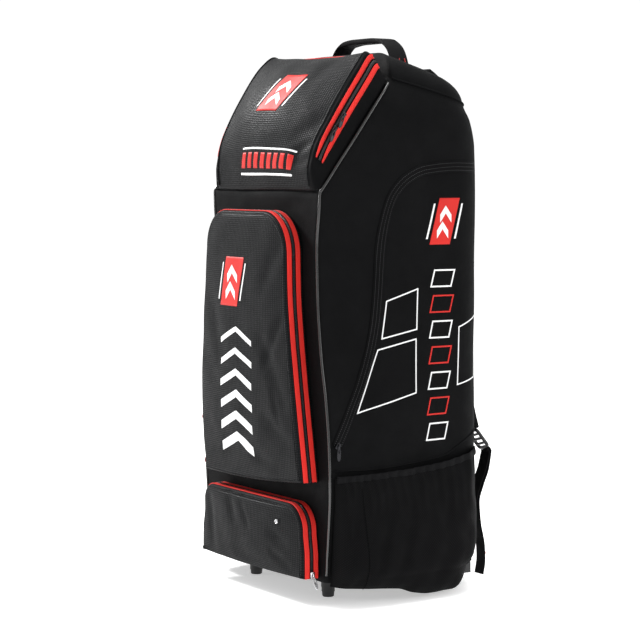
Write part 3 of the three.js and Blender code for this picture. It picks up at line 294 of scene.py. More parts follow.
def crease(points, lines):
    """How far cloth is pushed in at each point. Each line is a fold from one place to another: a valley
    whose depth falls off with the distance d from the line as (1 - (d / w)^2 / 2) exp(-(d / w)^2), so that
    the cloth beside it stands a little proud."""
    total = np.zeros(points.shape[:-1])
    for start, end, width, depth in lines:
        a, b = np.array(start) * MM, np.array(end) * MM
        along = b - a
        t = np.clip(((points - a) @ along) / (along @ along), 0, 1)
        d = np.linalg.norm(points - (a + t[..., None] * along), axis=-1) / (width * MM)
        fade = 0.35 + 0.65 * np.sin(np.pi * np.clip(0.1 + 0.8 * t, 0, 1))
        total += depth * MM * fade * (1 - 0.5 * d**2) * np.exp(-(d**2))
    return total


def ripple(points, pitch, height):
    """A soft unevenness: the sum of four slanted sine waves of unlike lengths round the given pitch."""
    p = points / (pitch * MM)
    waves = ((1.0, 0.35, 0.6, 0.3), (-0.6, 0.8, 0.9, 1.7), (0.3, -1.1, 0.5, 2.9), (0.9, 0.7, -0.8, 4.1))
    total = sum(np.sin(2 * np.pi * (p @ np.array(w[:3])) + w[3]) for w in waves)
    return height * MM * total / len(waves)


def place(points):
    """Shifts points of the working frame to the bag's own frame, along Y."""
    return points + np.array([0, WALL_Y, 0])


def box_of(node):
    """A solid's box in the working frame: its low corner, its high corner and the mean of the two."""
    low, high = (np.array(corner) - [0, WALL_Y, 0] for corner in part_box(node))
    return low, high, (low + high) / 2


def lay_mesh(name, points, faces, uv, material, body="bag", slot=None, replaces=(), inside=None, thick=0.0,
             sharp=None):
    """Puts points and faces into a mesh, welds seams and poles, turns the faces outwards and gives it a
    finish. inside, in millimetres, is a place that open cloth bulges away from: the faces are turned so
    that the sum of (centre - inside) . normal, each times its area, is positive. A closed form is turned
    by its volume."""
    mesh = bpy.data.meshes.new(name)
    mesh.from_pydata(place(points.reshape(-1, 3)), [], faces.tolist())
    corner = np.zeros(len(mesh.loops), int)
    mesh.loops.foreach_get("vertex_index", corner)
    layer = mesh.uv_layers.new(name="UVMap")
    layer.data.foreach_set("uv", uv.reshape(-1, 2)[corner].astype(np.float32).ravel())
    work = bmesh.new()
    work.from_mesh(mesh)
    bmesh.ops.remove_doubles(work, verts=work.verts, dist=WELD)
    bmesh.ops.dissolve_degenerate(work, edges=work.edges, dist=WELD / 20)
    if inside is None:
        flip = work.calc_volume(signed=True) < 0
    else:
        work.to_mesh(mesh)
        centres, normals = np.zeros(len(mesh.polygons) * 3), np.zeros(len(mesh.polygons) * 3)
        areas = np.zeros(len(mesh.polygons))
        mesh.polygons.foreach_get("center", centres)
        mesh.polygons.foreach_get("normal", normals)
        mesh.polygons.foreach_get("area", areas)
        away = centres.reshape(-1, 3) - place(np.array(inside) * MM)
        flip = (np.einsum("ij,ij->i", away, normals.reshape(-1, 3)) * areas).sum() < 0
    if flip:
        bmesh.ops.reverse_faces(work, faces=work.faces)
    work.to_mesh(mesh)
    work.free()
    mesh.shade_smooth()
    if sharp:
        mesh.set_sharp_from_angle(angle=math.radians(sharp))
    mesh.materials.append(material)
    made = bpy.data.objects.new(name, mesh)
    bpy.context.scene.collection.objects.link(made)
    if thick:
        wall = made.modifiers.new("Wall", "SOLIDIFY")
        wall.thickness = thick
        wall.offset = -1
    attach(made, body)
    if replaces:
        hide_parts(*replaces)
    return made


def quads(m, n, keep=None):
    """The faces of an m by n grid of points, row by row, or only those that a mask keeps."""
    i, j = np.meshgrid(np.arange(m - 1), np.arange(n - 1), indexing="ij")
    a = i * n + j
    faces = np.stack([a, a + 1, a + n + 1, a + n], -1)
    return faces.reshape(-1, 4) if keep is None else faces[keep]


def grid_uv(points):
    """UVs in metres: how far each point lies along its row, and its row's mean distance down the grid."""
    across = np.linalg.norm(np.diff(points, axis=1), axis=-1).mean(0)
    down = np.linalg.norm(np.diff(points, axis=0), axis=-1).mean(1)
    u = np.concatenate([[0], np.cumsum(across)])
    v = np.concatenate([[0], np.cumsum(down)])
    return np.stack(np.meshgrid(u, v, indexing="xy"), -1)


def lay_grid(name, points, material, keep=None, **rest):
    """Lays one grid of points as a piece, with UVs in metres."""
    return lay_mesh(name, points, quads(*points.shape[:2], keep), grid_uv(points), material, **rest)


def frames(path, side):
    """Three unit directions at each point of a path: its run, its side, and out from the two."""
    run = unit(np.gradient(path, axis=0))
    side = np.broadcast_to(np.asarray(side, float), path.shape)
    out = unit(np.cross(run, side))
    return run, unit(np.cross(out, run)), out


def capped(rings):
    """A run of rings with a flat cap at each end: the end ring drawn in to its mean point."""
    first, last = (np.repeat(rings[k].mean(0, keepdims=True), rings.shape[1], 0)[None] for k in (0, -1))
    return np.concatenate([first, rings, last])


def sweep(path, side, outline, out=None, scale=None):
    """A closed bar: an outline of (across, up) points carried along a path, each point at path + across
    times its first number + up times its second. side gives the across direction and out the up
    direction."""
    run, across, up = frames(path, side)
    if out is not None:
        up = unit(out - run * np.einsum("ij,ij->i", out, run)[:, None])
        across = unit(np.cross(up, run))
    size = np.ones((len(path), 2)) if scale is None else scale
    loop = np.concatenate([outline, outline[:1]])
    return capped(path[:, None] + across[:, None] * (loop[None, :, :1] * size[:, None, :1])
                  + up[:, None] * (loop[None, :, 1:] * size[:, None, 1:]))


def round_outline(width, thick, corner=None, steps=4):
    """An oblong with a quarter circle at each corner, as a loop of (across, up) points."""
    corner = min(width, thick) * 0.45 if corner is None else corner
    turn = np.linspace(0, np.pi / 2, steps)
    loop = []
    for k, (sx, sy) in enumerate(((1, 1), (-1, 1), (-1, -1), (1, -1))):
        a = turn + k * np.pi / 2
        centre = (sx * (width / 2 - corner), sy * (thick / 2 - corner))
        loop.append(np.stack([centre[0] + corner * np.cos(a), centre[1] + corner * np.sin(a)], -1))
    return np.concatenate(loop)


def round_block(size, power=5.0, steps=12):
    """A rounded block as a grid: a ball whose sines and cosines are drawn towards the corners by a
    power."""
    def pull(v):
        """The value's size raised to 2 / power, with its sign."""
        return np.sign(v) * np.abs(v) ** (2 / power)

    a = np.linspace(-np.pi / 2, np.pi / 2, steps)[:, None]
    b = np.linspace(-np.pi, np.pi, 2 * steps)[None, :]
    x, y = pull(np.cos(a)) * pull(np.cos(b)), pull(np.cos(a)) * pull(np.sin(b))
    z = pull(np.sin(a)) * np.ones_like(b)
    return np.stack([x * size[0], y * size[1], z * size[2]], -1) / 2


def merge(parts):
    """Several grids of points as one set of points, faces and UVs."""
    points = [part.reshape(-1, 3) for part in parts]
    starts = np.cumsum([0] + [len(p) for p in points[:-1]])
    faces = [quads(*part.shape[:2]) + start for part, start in zip(parts, starts)]
    uvs = [grid_uv(part).reshape(-1, 2) for part in parts]
    return np.concatenate(points), np.concatenate(faces), np.concatenate(uvs)


def lay_parts(name, parts, material, **rest):
    """Lays several closed grids as one piece."""
    points, faces, uv = merge(parts)
    return lay_mesh(name, points, faces, uv, material, **rest)


def copies(shape, at, x, y, z):
    """A small shape repeated: every copy is turned to three directions and set at its place."""
    grid = np.einsum("mnk,ckl->cmnl", shape, np.stack([x, y, z], 1)) + at[:, None, None]
    count, m, n = grid.shape[:3]
    faces = (quads(m, n)[None] + (np.arange(count) * m * n)[:, None, None]).reshape(-1, 4)
    uv = np.broadcast_to(grid_uv(shape), (count, m, n, 2))
    return grid.reshape(-1, 3), faces, uv.reshape(-1, 2)


def stitch_row(name, path, out, material, slot=None, length=2.3 * MM, radius=0.42 * MM, lift=0.1 * MM):
    """A row of stitches: small rounded bars lying along a path, a pitch apart."""
    walk = even_run(np.concatenate([path, np.broadcast_to(out, path.shape)], 1), looks().stitch_pitch)
    at, up = walk[:, :3], unit(walk[:, 3:])
    run = unit(np.gradient(at, axis=0))
    across = unit(np.cross(up, run))
    shape = round_block((length, 2 * radius, 1.3 * radius), 2.6, 4)
    points, faces, uv = copies(shape, at + up * lift, run, across, unit(np.cross(run, across)))
    return lay_mesh(name, points, faces, uv, material, slot=slot)


# Finishes.
MATT = 0.8  # roughness in the valleys of a polished pattern


def add_node(tree, kind, links=None, **settings):
    """Adds a shader node with its settings. Each input gets a value, or the socket that feeds it."""
    made = tree.nodes.new(kind)
    for key, value in settings.items():
        setattr(made, key, value)
    for key, value in (links or {}).items():
        if isinstance(value, bpy.types.NodeSocket):
            tree.links.new(value, made.inputs[key])
        else:
            made.inputs[key].default_value = value
    return made


def sums(tree, operation, a, b=0.0, c=None):
    """The output of a maths node on a and b, and on c where it takes three."""
    links = {0: a, 1: b} if c is None else {0: a, 1: b, 2: c}
    return add_node(tree, "ShaderNodeMath", links, operation=operation).outputs[0]


def mixed(tree, share, low, high):
    """The colour low + share (high - low)."""
    made = add_node(tree, "ShaderNodeMix", {"Factor": share}, data_type="RGBA")
    for socket, value in ((made.inputs[6], low), (made.inputs[7], high)):
        if isinstance(value, bpy.types.NodeSocket):
            tree.links.new(value, socket)
        else:
            socket.default_value = (*value, 1.0)
    return made.outputs[2]


def wave(tree, axis, pitch, power=1.0):
    """A rounded ridge at each step of the pitch: the absolute sine of pi times the place over the pitch."""
    turned = sums(tree, "SINE", sums(tree, "MULTIPLY", axis, math.pi / pitch))
    ridge = sums(tree, "ABSOLUTE", turned)
    return ridge if power == 1.0 else sums(tree, "POWER", ridge, power)


def noise(tree, where, scale, detail=3.0, rough=0.55):
    """Soft noise: octaves from the given scale up, each rough times as strong as the one before."""
    return add_node(tree, "ShaderNodeTexNoise", {"Vector": where, "Scale": scale, "Detail": detail,
                                                 "Roughness": rough}).outputs["Fac"]


def spread(tree, value, low, high):
    """A noise's middle values, 0.3 to 0.7, stretched in a straight line to low and high."""
    made = add_node(tree, "ShaderNodeMapRange", {"Value": value, "To Min": low, "To Max": high})
    made.inputs["From Min"].default_value, made.inputs["From Max"].default_value = 0.3, 0.7
    return made.outputs[0]


def finish(name, colour, rough, bumps, wear=0.12, rough_swing=0.06, fixed=None, tint=None, polish=None):
    """A procedural material. bumps(tree, u, v, place) gives pairs of a height and its strength in metres.
    wear lightens and darkens the colour in soft patches, and rough_swing does so for the gloss. fixed
    holds what is the same all over, tint(tree, u, v, colour) may colour a pattern or paint highlights
    into it, and polish(tree, u, v) says where the surface is as smooth as rough says, being matt elsewhere."""
    made = bpy.data.materials.new(name)
    made.use_nodes = True
    tree = made.node_tree
    shader = tree.nodes["Principled BSDF"]
    coords = add_node(tree, "ShaderNodeTexCoord")
    flat = add_node(tree, "ShaderNodeSeparateXYZ", {0: coords.outputs["UV"]})
    u, v, where = flat.outputs[0], flat.outputs[1], coords.outputs["Object"]
    patches = noise(tree, where, 9.0, 4.0)
    low = tuple(c * (1 - wear) for c in colour)
    high = tuple(min(1.0, c * (1 + wear) + wear * 0.004) for c in colour)
    base = mixed(tree, spread(tree, patches, 0.0, 1.0), low, high)
    if tint:
        base = tint(tree, u, v, base)
    tree.links.new(base, shader.inputs["Base Color"])
    gloss = spread(tree, noise(tree, where, 30.0, 3.0), rough - rough_swing, rough + rough_swing)
    if polish:
        share = polish(tree, u, v)
        gloss = sums(tree, "MULTIPLY_ADD", share, sums(tree, "SUBTRACT", gloss, MATT), MATT)
    tree.links.new(gloss, shader.inputs["Roughness"])
    for key, value in (fixed or {}).items():
        shader.inputs[key].default_value = value
    under = {}
    for height, depth in bumps(tree, u, v, where):
        links = {"Height": height, "Distance": depth, "Strength": 1.0, **under}
        under = {"Normal": add_node(tree, "ShaderNodeBump", links).outputs[0]}
    tree.links.new(under["Normal"], shader.inputs["Normal"])
    return made


def cloth_bumps(pitch, depth, soft=0.5 * MM):
    """Plain weave: crossed rounded ridges, over a soft crumple of the cloth."""
    def bumps(tree, u, v, where):
        weave = sums(tree, "MULTIPLY", wave(tree, u, pitch), wave(tree, v, pitch))
        return [(noise(tree, where, 26.0, 3.0), soft), (noise(tree, where, 95.0, 2.0), soft * 0.25),
                (weave, depth)]
    return bumps


def emboss_bumps(tree, u, v, where):
    """Raised cells with soft valleys between them, on cloth with small dents."""
    return [(noise(tree, where, 12.0, 1.5), 5.0 * MM), (cells(tree, u, v, 0.6), 0.5 * MM)]


def cells(tree, u, v, power):
    """The embossed cells: the lower of the two waves across and up the cloth."""
    across, up = looks().emboss_wide, looks().emboss_high
    return sums(tree, "MINIMUM", wave(tree, u, across, power), wave(tree, v, up, power))


def painted_cell_glint(tree, u, v, base):
    """Painted highlight: the cells' raised middles are painted a little lighter than the valleys between
    them.
    """
    return mixed(tree, sums(tree, "MULTIPLY", cells(tree, u, v, 2.0), 0.6), base, (0.019, 0.0197, 0.021))


def rib_bumps(pitch, depth):
    """Ribs across a tape or webbing, with a fine thread along it."""
    def bumps(tree, u, v, where):
        return [(wave(tree, v, pitch), depth), (wave(tree, u, pitch * 1.7), depth * 0.35)]
    return bumps


def grain_bumps(scale, depth):
    """A fine even grain of noise."""
    def bumps(tree, u, v, where):
        return [(noise(tree, where, scale, 4.0), depth)]
    return bumps


def painted_fleck_glints(tree, u, v, base):
    """Painted ripstop highlights: a light fleck at each crossing of two slanted sets of threads."""
    pitch = 4.6 * MM
    slant = sums(tree, "MULTIPLY", wave(tree, sums(tree, "ADD", u, v), pitch, 3.0),
                 wave(tree, sums(tree, "SUBTRACT", u, v), pitch, 3.0))
    return mixed(tree, sums(tree, "MULTIPLY", slant, 0.5), base, (0.016, 0.016, 0.017))


def make_finishes():
    """Every finish of the bag, by its slot's name in the record or by a name of its own."""
    look = looks()
    cloth, coated, red = tuple(look.cloth_colour), tuple(look.coated_colour), tuple(look.tape_colour)
    dull_red = tuple(0.8 * c for c in red)
    fabric, printed = {"Specular IOR Level": 0.06}, cloth_bumps(1.1 * MM, 0.05 * MM, 0.1 * MM)
    metal = {"Metallic": 1.0}
    return {
        "body_cloth": finish("body cloth", cloth, 0.72, cloth_bumps(1.1 * MM, 0.12 * MM), fixed=fabric),
        # The coated cloth's tint paints a highlight on the middle of each embossed cell.
        "coated_cloth": finish("coated cloth", coated, 0.3, emboss_bumps, rough_swing=0.08,
                               fixed={"Specular IOR Level": 0.085}, tint=painted_cell_glint,
                               polish=lambda tree, u, v: cells(tree, u, v, 1.2)),
        # The pouch cloth's tint paints light flecks as highlights on its ripstop threads.
        "pouch_cloth": finish("pouch cloth", (0.0021, 0.0021, 0.0023), 0.68,
                              cloth_bumps(1.6 * MM, 0.12 * MM, 0.8 * MM),
                              fixed={"Specular IOR Level": 0.04}, tint=painted_fleck_glints),
        "red_tape": finish("red tape", red, 0.62, rib_bumps(1.3 * MM, 0.25 * MM), wear=0.1,
                           fixed={"Specular IOR Level": 0.25}),
        "red_thread": finish("red thread", dull_red, 0.55, grain_bumps(900.0, 0.1 * MM)),
        "zip": finish("zip tape", (0.004, 0.004, 0.0045), 0.6, rib_bumps(0.9 * MM, 0.15 * MM),
                      fixed=fabric),
        "teeth": finish("zip teeth", (0.008, 0.008, 0.009), 0.32, grain_bumps(600.0, 0.05 * MM),
                        fixed={"Specular IOR Level": 0.35}),
        "metal": finish("gunmetal", (0.24, 0.245, 0.26), 0.3, grain_bumps(420.0, 0.05 * MM), wear=0.3,
                        fixed=metal),
        "black_metal": finish("blackened metal", (0.035, 0.035, 0.038), 0.3, grain_bumps(420.0, 0.05 * MM),
                              fixed=metal),
        "bright_metal": finish("nickel", (0.62, 0.62, 0.63), 0.24, grain_bumps(420.0, 0.04 * MM), wear=0.15,
                               fixed=metal),
        "strap_padding": finish("strap padding", (0.005, 0.005, 0.0055), 0.75,
                                cloth_bumps(1.5 * MM, 0.16 * MM), fixed=fabric),
        "webbing": finish("webbing", (0.0055, 0.0055, 0.006), 0.66, rib_bumps(1.5 * MM, 0.3 * MM),
                          fixed=fabric),
        "piping": finish("piping", (0.006, 0.006, 0.006), 0.22, grain_bumps(160.0, 0.15 * MM),
                         fixed={"Coat Weight": 0.5, "Coat Roughness": 0.12}),
        "plastic": finish("moulded plastic", (0.007, 0.007, 0.0075), 0.42, grain_bumps(900.0, 0.08 * MM)),
        "tread": finish("hard rubber", (0.016, 0.016, 0.016), 0.6, grain_bumps(500.0, 0.12 * MM), wear=0.3),
        "thread": finish("black thread", (0.013, 0.013, 0.014), 0.5, grain_bumps(900.0, 0.1 * MM)),
        "light_print": finish("light print", tuple(look.print_colour), 0.45, printed, wear=0.04),
        "red_print": finish("red print", dull_red, 0.5, printed, wear=0.06,
                            fixed={"Specular IOR Level": 0.2}),
    }


FINISHES = {}  # filled by the operator of the finishes


# The body.
def height_of(share, top):
    """Heights of the body's rows: shares up to 1 run from the base to the seam, and past 1 on to the top
    edge."""
    return np.where(share <= 1, BASE_Z + share * (SEAM_Z - BASE_Z), SEAM_Z + (share - 1) * (top - SEAM_Z))


def slope_y(z):
    """How far back the front lies at a height: 0 up to the seam, then along the straight slope."""
    return np.maximum(0, (z - SEAM_Z) / (TOP_Z - SEAM_Z) * TOP_SETBACK)


SLOPE_LENGTH = math.hypot(TOP_SETBACK, TOP_Z - SEAM_Z)
SLOPE_RUN = np.array([0, TOP_SETBACK, TOP_Z - SEAM_Z]) / SLOPE_LENGTH
SLOPE_UP = np.array([0, -SLOPE_RUN[2], SLOPE_RUN[1]])


def on_slope(x, s, h):
    """Points x across, s up the slope from the seam and h above it."""
    x, s, h = np.broadcast_arrays(x, s, h)
    foot = np.stack([x, np.zeros_like(x), np.full_like(x, SEAM_Z)], -1)
    return foot + s[..., None] * SLOPE_RUN + h[..., None] * SLOPE_UP


def over_slope(points):
    """How far up the slope from the seam points lie, and how far above it."""
    flat = points - [0, 0, SEAM_Z]
    return flat @ SLOPE_RUN, flat @ SLOPE_UP


# Folds of the body's cloth: from, to, width and depth, in millimetres of the working frame.
BODY_FOLDS = [
    ((188, 20, 690), (186, 120, 520), 42, 3.2),
    ((186, 170, 640), (190, 250, 480), 60, 2.4),
    ((176, 60, 760), (186, 150, 620), 34, 2.0),
    ((180, 190, 800), (190, 270, 560), 50, 2.6),
    ((205, 30, 250), (205, 190, 236), 26, 2.2),
    ((204, 40, 330), (204, 120, 262), 30, 1.8),
    ((200, 20, 420), (203, 90, 300), 38, 2.0),
    ((180, 130, 850), (178, 230, 820), 26, 3.0),
    ((-186, 60, 700), (-190, 200, 500), 60, 3.0),
    ((-190, 30, 400), (-204, 160, 260), 50, 2.6),
    ((-178, 150, 850), (-186, 250, 700), 40, 2.6),
    ((-120, 335, 700), (60, 335, 560), 70, 3.0),
    ((120, 335, 420), (-80, 335, 300), 70, 3.0),
    ((150, 0, 676), (60, 0, 652), 16, 1.6),
    ((172, 0, 190), (120, 0, 176), 14, 1.4),
]
SECTION_STEPS = {"front": 26, "corner": 5, "side": 44, "back_corner": 12, "back": 14}
FLOOR_ROWS = 2
CROWN_ROWS = 21


def body_surface():
    """The body's surface as a grid of rings: along the front wall, round a quarter turn of the front
    radius, a side that swells by a sine, a quarter turn of the back radius and the back wall, then
    mirrored. Above the top edge the last ring shrinks to the middle while it rises over the crown."""
    v = np.linspace(0, len(BODY) - 1, 10 * (len(BODY) - 1) + 1)
    column = {k: read(BODY, "row", k, v)[:, None] for k in BODY[0] if k != "row"}
    front_z, back_z = height_of(column["front"], TOP_Z), height_of(column["back"], TOP_Z - BACK_DROP)
    y0 = slope_y(front_z) + column["inFront"] * BODY_DEPTH
    y1 = BODY_DEPTH * (1 - column["inBack"])
    front, back = column["frontHalf"] * BODY_HALF, column["backHalf"] * BODY_HALF
    r0, r1 = FRONT_RADIUS, np.minimum(BACK_RADIUS, (y1 - y0) / CORNER_LIMIT)
    turn = np.linspace(0, np.pi / 2, SECTION_STEPS["corner"])[None, 1:]
    share = np.linspace(0, 1, SECTION_STEPS["side"])[None, 1:-1]
    back_turn = np.linspace(0, np.pi / 2, SECTION_STEPS["back_corner"])[None]
    flat = np.linspace(0, 1, SECTION_STEPS["front"])[None]
    home = np.linspace(1, 0, SECTION_STEPS["back"])[None, 1:]
    x = [(front - r0) * flat, front - r0 + r0 * np.sin(turn),
         front + (back - front) * share + SIDE_FULLNESS * np.sin(np.pi * share),
         back - r1 + r1 * np.cos(back_turn), (back - r1) * home]
    y = [y0 + 0 * flat, y0 + r0 - r0 * np.cos(turn), y0 + r0 + (y1 - r1 - y0 - r0) * share,
         y1 - r1 + r1 * np.sin(back_turn), y1 + 0 * home]
    x, y = np.concatenate(x, 1), np.concatenate(y, 1)
    z = front_z + (back_z - front_z) * (y - y0) / (y1 - y0)
    half = np.stack([x, y, z], -1)
    rings = np.concatenate([half, (half * [-1, 1, 1])[:, -2::-1]], 1)
    edge = rings[-1]
    w = np.linspace(0, len(CROWN) - 1, CROWN_ROWS + 1)[1:]
    out, rise = read(CROWN, "row", "spread", w)[:, None, None], read(CROWN, "row", "rise", w)[:, None]
    middle = np.array([0, edge[:, 1].mean(), 0])
    top = middle * [1, 1, 0] + (edge - middle) * out * [1, 1, 0] + edge * [0, 0, 1]
    top[..., 2] += TOP_CROWN * rise
    floor = np.stack([rings[0] * [s, s, 1] + [0, (1 - s) * BODY_DEPTH / 2, 0] for s in (0.0, 0.5)])
    grid = np.concatenate([floor, rings, top])
    return grid, crease(grid, BODY_FOLDS) + ripple(grid, 170, 1.0)


class Side:
    """A side panel as a table of x over y and z, so that what lies on it follows its folds. The left one is
    read from the mirrored surface."""

    def __init__(self, grid, sign):
        self.sign = sign
        grid = grid if sign > 0 else (grid * [-1, 1, 1])[:, ::-1]
        first = SECTION_STEPS["front"] - 1
        last = first + SECTION_STEPS["corner"] + SECTION_STEPS["side"] + SECTION_STEPS["back_corner"] - 2
        part = grid[FLOOR_ROWS:-CROWN_ROWS, first:last]
        self.y = np.linspace(0, BODY_DEPTH, 130)
        self.z = np.linspace(BASE_Z, TOP_Z, 240)
        x = np.array([np.interp(self.y, ring[:, 1], ring[:, 0]) for ring in part])
        z = np.array([np.interp(self.y, ring[:, 1], ring[:, 2]) for ring in part])
        self.x = np.array([np.interp(self.z, z[:, k], x[:, k]) for k in range(len(self.y))])

    def at(self, y, z):
        """x by straight-line reading between the table's four nearest places."""
        i = np.clip(np.interp(y, self.y, np.arange(len(self.y))), 0, len(self.y) - 1.001)
        j = np.clip(np.interp(z, self.z, np.arange(len(self.z))), 0, len(self.z) - 1.001)
        a, b = i.astype(int), j.astype(int)
        s, t = i - a, j - b
        return ((1 - s) * (1 - t) * self.x[a, b] + s * (1 - t) * self.x[a + 1, b]
                + (1 - s) * t * self.x[a, b + 1] + s * t * self.x[a + 1, b + 1])

    def point(self, y, z, lift):
        """A place on the panel, lifted off it sideways."""
        return np.stack(np.broadcast_arrays(self.sign * (self.at(y, z) + lift), y, z), -1)


SURFACES = {}  # the laid surfaces, by name, for what is sewn or printed on them


def build_body():
    """The body's shell with its open mouth under the lid, and the raised seams of its top edges. The cloth
    is pushed in along its normals by the folds and the ripple."""
    grid, pushed = body_surface()
    normals = grid_normals(grid)
    middle = np.array([0, BODY_DEPTH / 2, 0.45])
    normals *= np.sign(np.einsum("mnk,mnk->mn", normals, grid - middle))[..., None]
    grid = grid - normals * pushed[..., None]
    for name, sign in SIDES:
        SURFACES[f"side_{name}"] = Side(grid, sign)
    SURFACES["body"] = grid
    centre = (grid[:-1, :-1] + grid[1:, 1:]) / 2
    s = over_slope(centre)[0]
    mouth = ((np.abs(centre[..., 0]) < MOUTH_HALF) & (s > MOUTH_MARGIN) & (s < SLOPE_LENGTH - MOUTH_MARGIN)
             & (centre[..., 1] < slope_y(centre[..., 2]) + 8 * MM))
    lay_grid("bag_body", grid, FINISHES["body_cloth"], keep=~mouth, inside=(0, 168, 450), thick=BODY_WALL,
             slot="body_cloth", replaces=("body_shell",))
    last_ring = grid[-CROWN_ROWS - 1]
    columns = SECTION_STEPS["front"] + SECTION_STEPS["corner"] // 2 - 1
    for name, sign in SIDES:
        seam = last_ring[columns:len(last_ring) // 2 + 1] * [sign, 1, 1]
        outward = unit(seam - [0, BODY_DEPTH / 2, TOP_Z - 0.1])
        path = even_run(seam + outward * 1.1 * MM, 4 * MM)
        lay_grid(f"top_seam_{name}", sweep(path, [0, 0, 1], round_outline(3.2 * MM, 3.2 * MM, 1.5 * MM)),
                 FINISHES["body_cloth"], slot="body_cloth")


# The lid. Its folds are given as the body's.
LID_FOLDS = [
    ((146, 8, 735), (70, -28, 720), 15, 5.0),
    ((148, 22, 764), (104, -10, 742), 12, 4.6),
    ((128, -12, 704), (30, -22, 712), 13, 3.6),
    ((140, 30, 800), (100, -4, 766), 20, 2.4),
    ((-150, 10, 735), (-90, -26, 716), 20, 2.6),
    ((-140, 60, 830), (-110, 0, 770), 26, 2.6),
    ((0, 60, 900), (20, 20, 850), 40, 3.0),
    ((80, 80, 890), (60, 40, 850), 22, 1.8),
]


LID_MIDDLE = np.array([0, 0.11, 0.74])  # a place inside the lid, which its cloth faces away from
GUSSET_STEPS = 16


def lid_section(r, up, sign):
    """A point of the lid's side wall at row r, as (x, s, h): up is a share of the wall's height, and s and
    h run in a straight line from the wall's base to its top."""
    column = {k: read(LID, "row", k, r) for k in LID[0] if k != "row"}
    lean = np.where(sign < 0, column["left"], 1.0)
    x = (LID_TOP_HALF + (LID_BASE_HALF - LID_TOP_HALF) * read(LID_SIDE, "up", "out", up)) * column["half"]
    base = column["base"] * SLOPE_LENGTH
    top = column["top"] * SLOPE_LENGTH + column["over"] * LID_OVERHANG
    h = LID_HEIGHT * column["high"] * up * lean
    return x, base + (top - base) * up * lean, h


def lid_surface():
    """The lid's surface: each section climbs one side wall by its table, crosses the top with a crown of
    1 - x^2, and comes down the other side. The first and the last section close down to the slope."""
    r = np.linspace(0, len(LID) - 1, 90)[:, None]
    column = {k: read(LID, "row", k, r) for k in LID[0] if k != "row"}
    up = np.linspace(0, 1, GUSSET_STEPS)[None]
    base = column["base"] * SLOPE_LENGTH
    top = column["top"] * SLOPE_LENGTH + column["over"] * LID_OVERHANG
    parts = []
    for sign in (1, -1):
        x, s, h = lid_section(r, up, sign)
        parts.append((sign * x, s, h + GAP))
    x, s, h = lid_section(r, np.array([[1.0]]), 1)
    across = np.linspace(1, -1, 70)[None, 1:-1]
    high = LID_HEIGHT * column["high"]
    edge = high * (column["left"] + (1 - column["left"]) * (across + 1) / 2)
    raised = edge + LID_CROWN * column["crown"] * (1 - across**2)
    parts.insert(1, (x * across, base + (top - base) * raised / high, raised))
    grids = [on_slope(*part) for part in parts]
    grid = np.concatenate([grids[0], grids[1], grids[2][:, ::-1]], 1)
    s, h = over_slope(grid)
    ends = []
    for k in (0, -1):
        fan = []
        for share in (0.02, 0.35, 0.7):
            foot = base[k] + (s[k] - base[k]) * share
            fan.append(on_slope(grid[k, :, 0], foot, h[k] * share + GAP * (1 - share)))
        ends.append(np.stack(fan))
    grid = np.concatenate([ends[0], grid, ends[1][::-1]])
    pushed = crease(grid, LID_FOLDS) + ripple(grid, 90, 0.9)
    normals = grid_normals(grid)
    normals *= np.sign(np.einsum("mnk,mnk->mn", normals, grid - LID_MIDDLE))[..., None]
    calm = np.clip(over_slope(grid)[1] / (12 * MM), 0, 1)
    return grid - normals * (pushed * calm)[..., None]


def lid_band(low, high, lift, thick):
    """A band round the lid between two shares of its height: up the right side, across the back end and
    down the left side, as a closed bar whose foot stands off the lid by lift."""
    r = np.linspace(3, len(LID) - 1, 60)
    spots = []
    for up, off in ((low, lift), (low, lift + thick), (high, lift + thick), (high, lift)):
        right = lid_section(r, up, 1)
        left = [part[::-1] for part in lid_section(r, up, -1)]
        over = np.linspace(1, -1, 60)[1:-1]
        ends = (right[0][-1] * over, np.interp(over, [-1, 1], [left[1][0], right[1][-1]]),
                np.interp(over, [-1, 1], [left[2][0], right[2][-1]]))
        x = np.concatenate([right[0] + off, ends[0] * (1 + off / 0.15), -left[0] - off])
        s = np.concatenate([right[1], ends[1] + off + 0.6 * MM, left[1]])
        h = np.concatenate([right[2], ends[2], left[2]])
        spots.append(on_slope(x, s, h))
    ring = np.stack(spots, 1)
    kernel = np.array([1, 2, 3, 2, 1]) / 9
    for _ in range(2):
        padded = np.concatenate([ring[:1]] * 2 + [ring] + [ring[-1:]] * 2)
        ring = sum(padded[k:k + len(ring)] * kernel[k] for k in range(5))
    foot, edge, far, back = (ring[:, k] for k in range(4))
    station = np.minimum(np.arange(len(ring)), np.arange(len(ring))[::-1])
    taper = 0.3 + 0.7 * np.clip(station / 9, 0, 1) ** 0.7
    middle = (edge + far) / 2
    out = unit(middle - (foot + back) / 2)
    return middle, unit(far - edge), out, np.linalg.norm(far - edge, axis=1) * taper


def build_band(name, middle, side, out, width, thick, material, slot, replaces=()):
    """A woven band with rounded edges laid along a path, its face turned out."""
    path = np.concatenate([middle - out * thick / 2, side, out, width[:, None]], 1)
    walk = even_run(path, 2.5 * MM)
    scale = np.stack([walk[:, 9] / walk[:, 9].mean(), np.ones(len(walk))], 1)
    outline = round_outline(walk[:, 9].mean(), thick, thick * 0.45)
    grid = sweep(walk[:, :3], walk[:, 3:6], outline, unit(walk[:, 6:9]), scale)
    return lay_grid(name, grid, material, slot=slot, replaces=replaces)


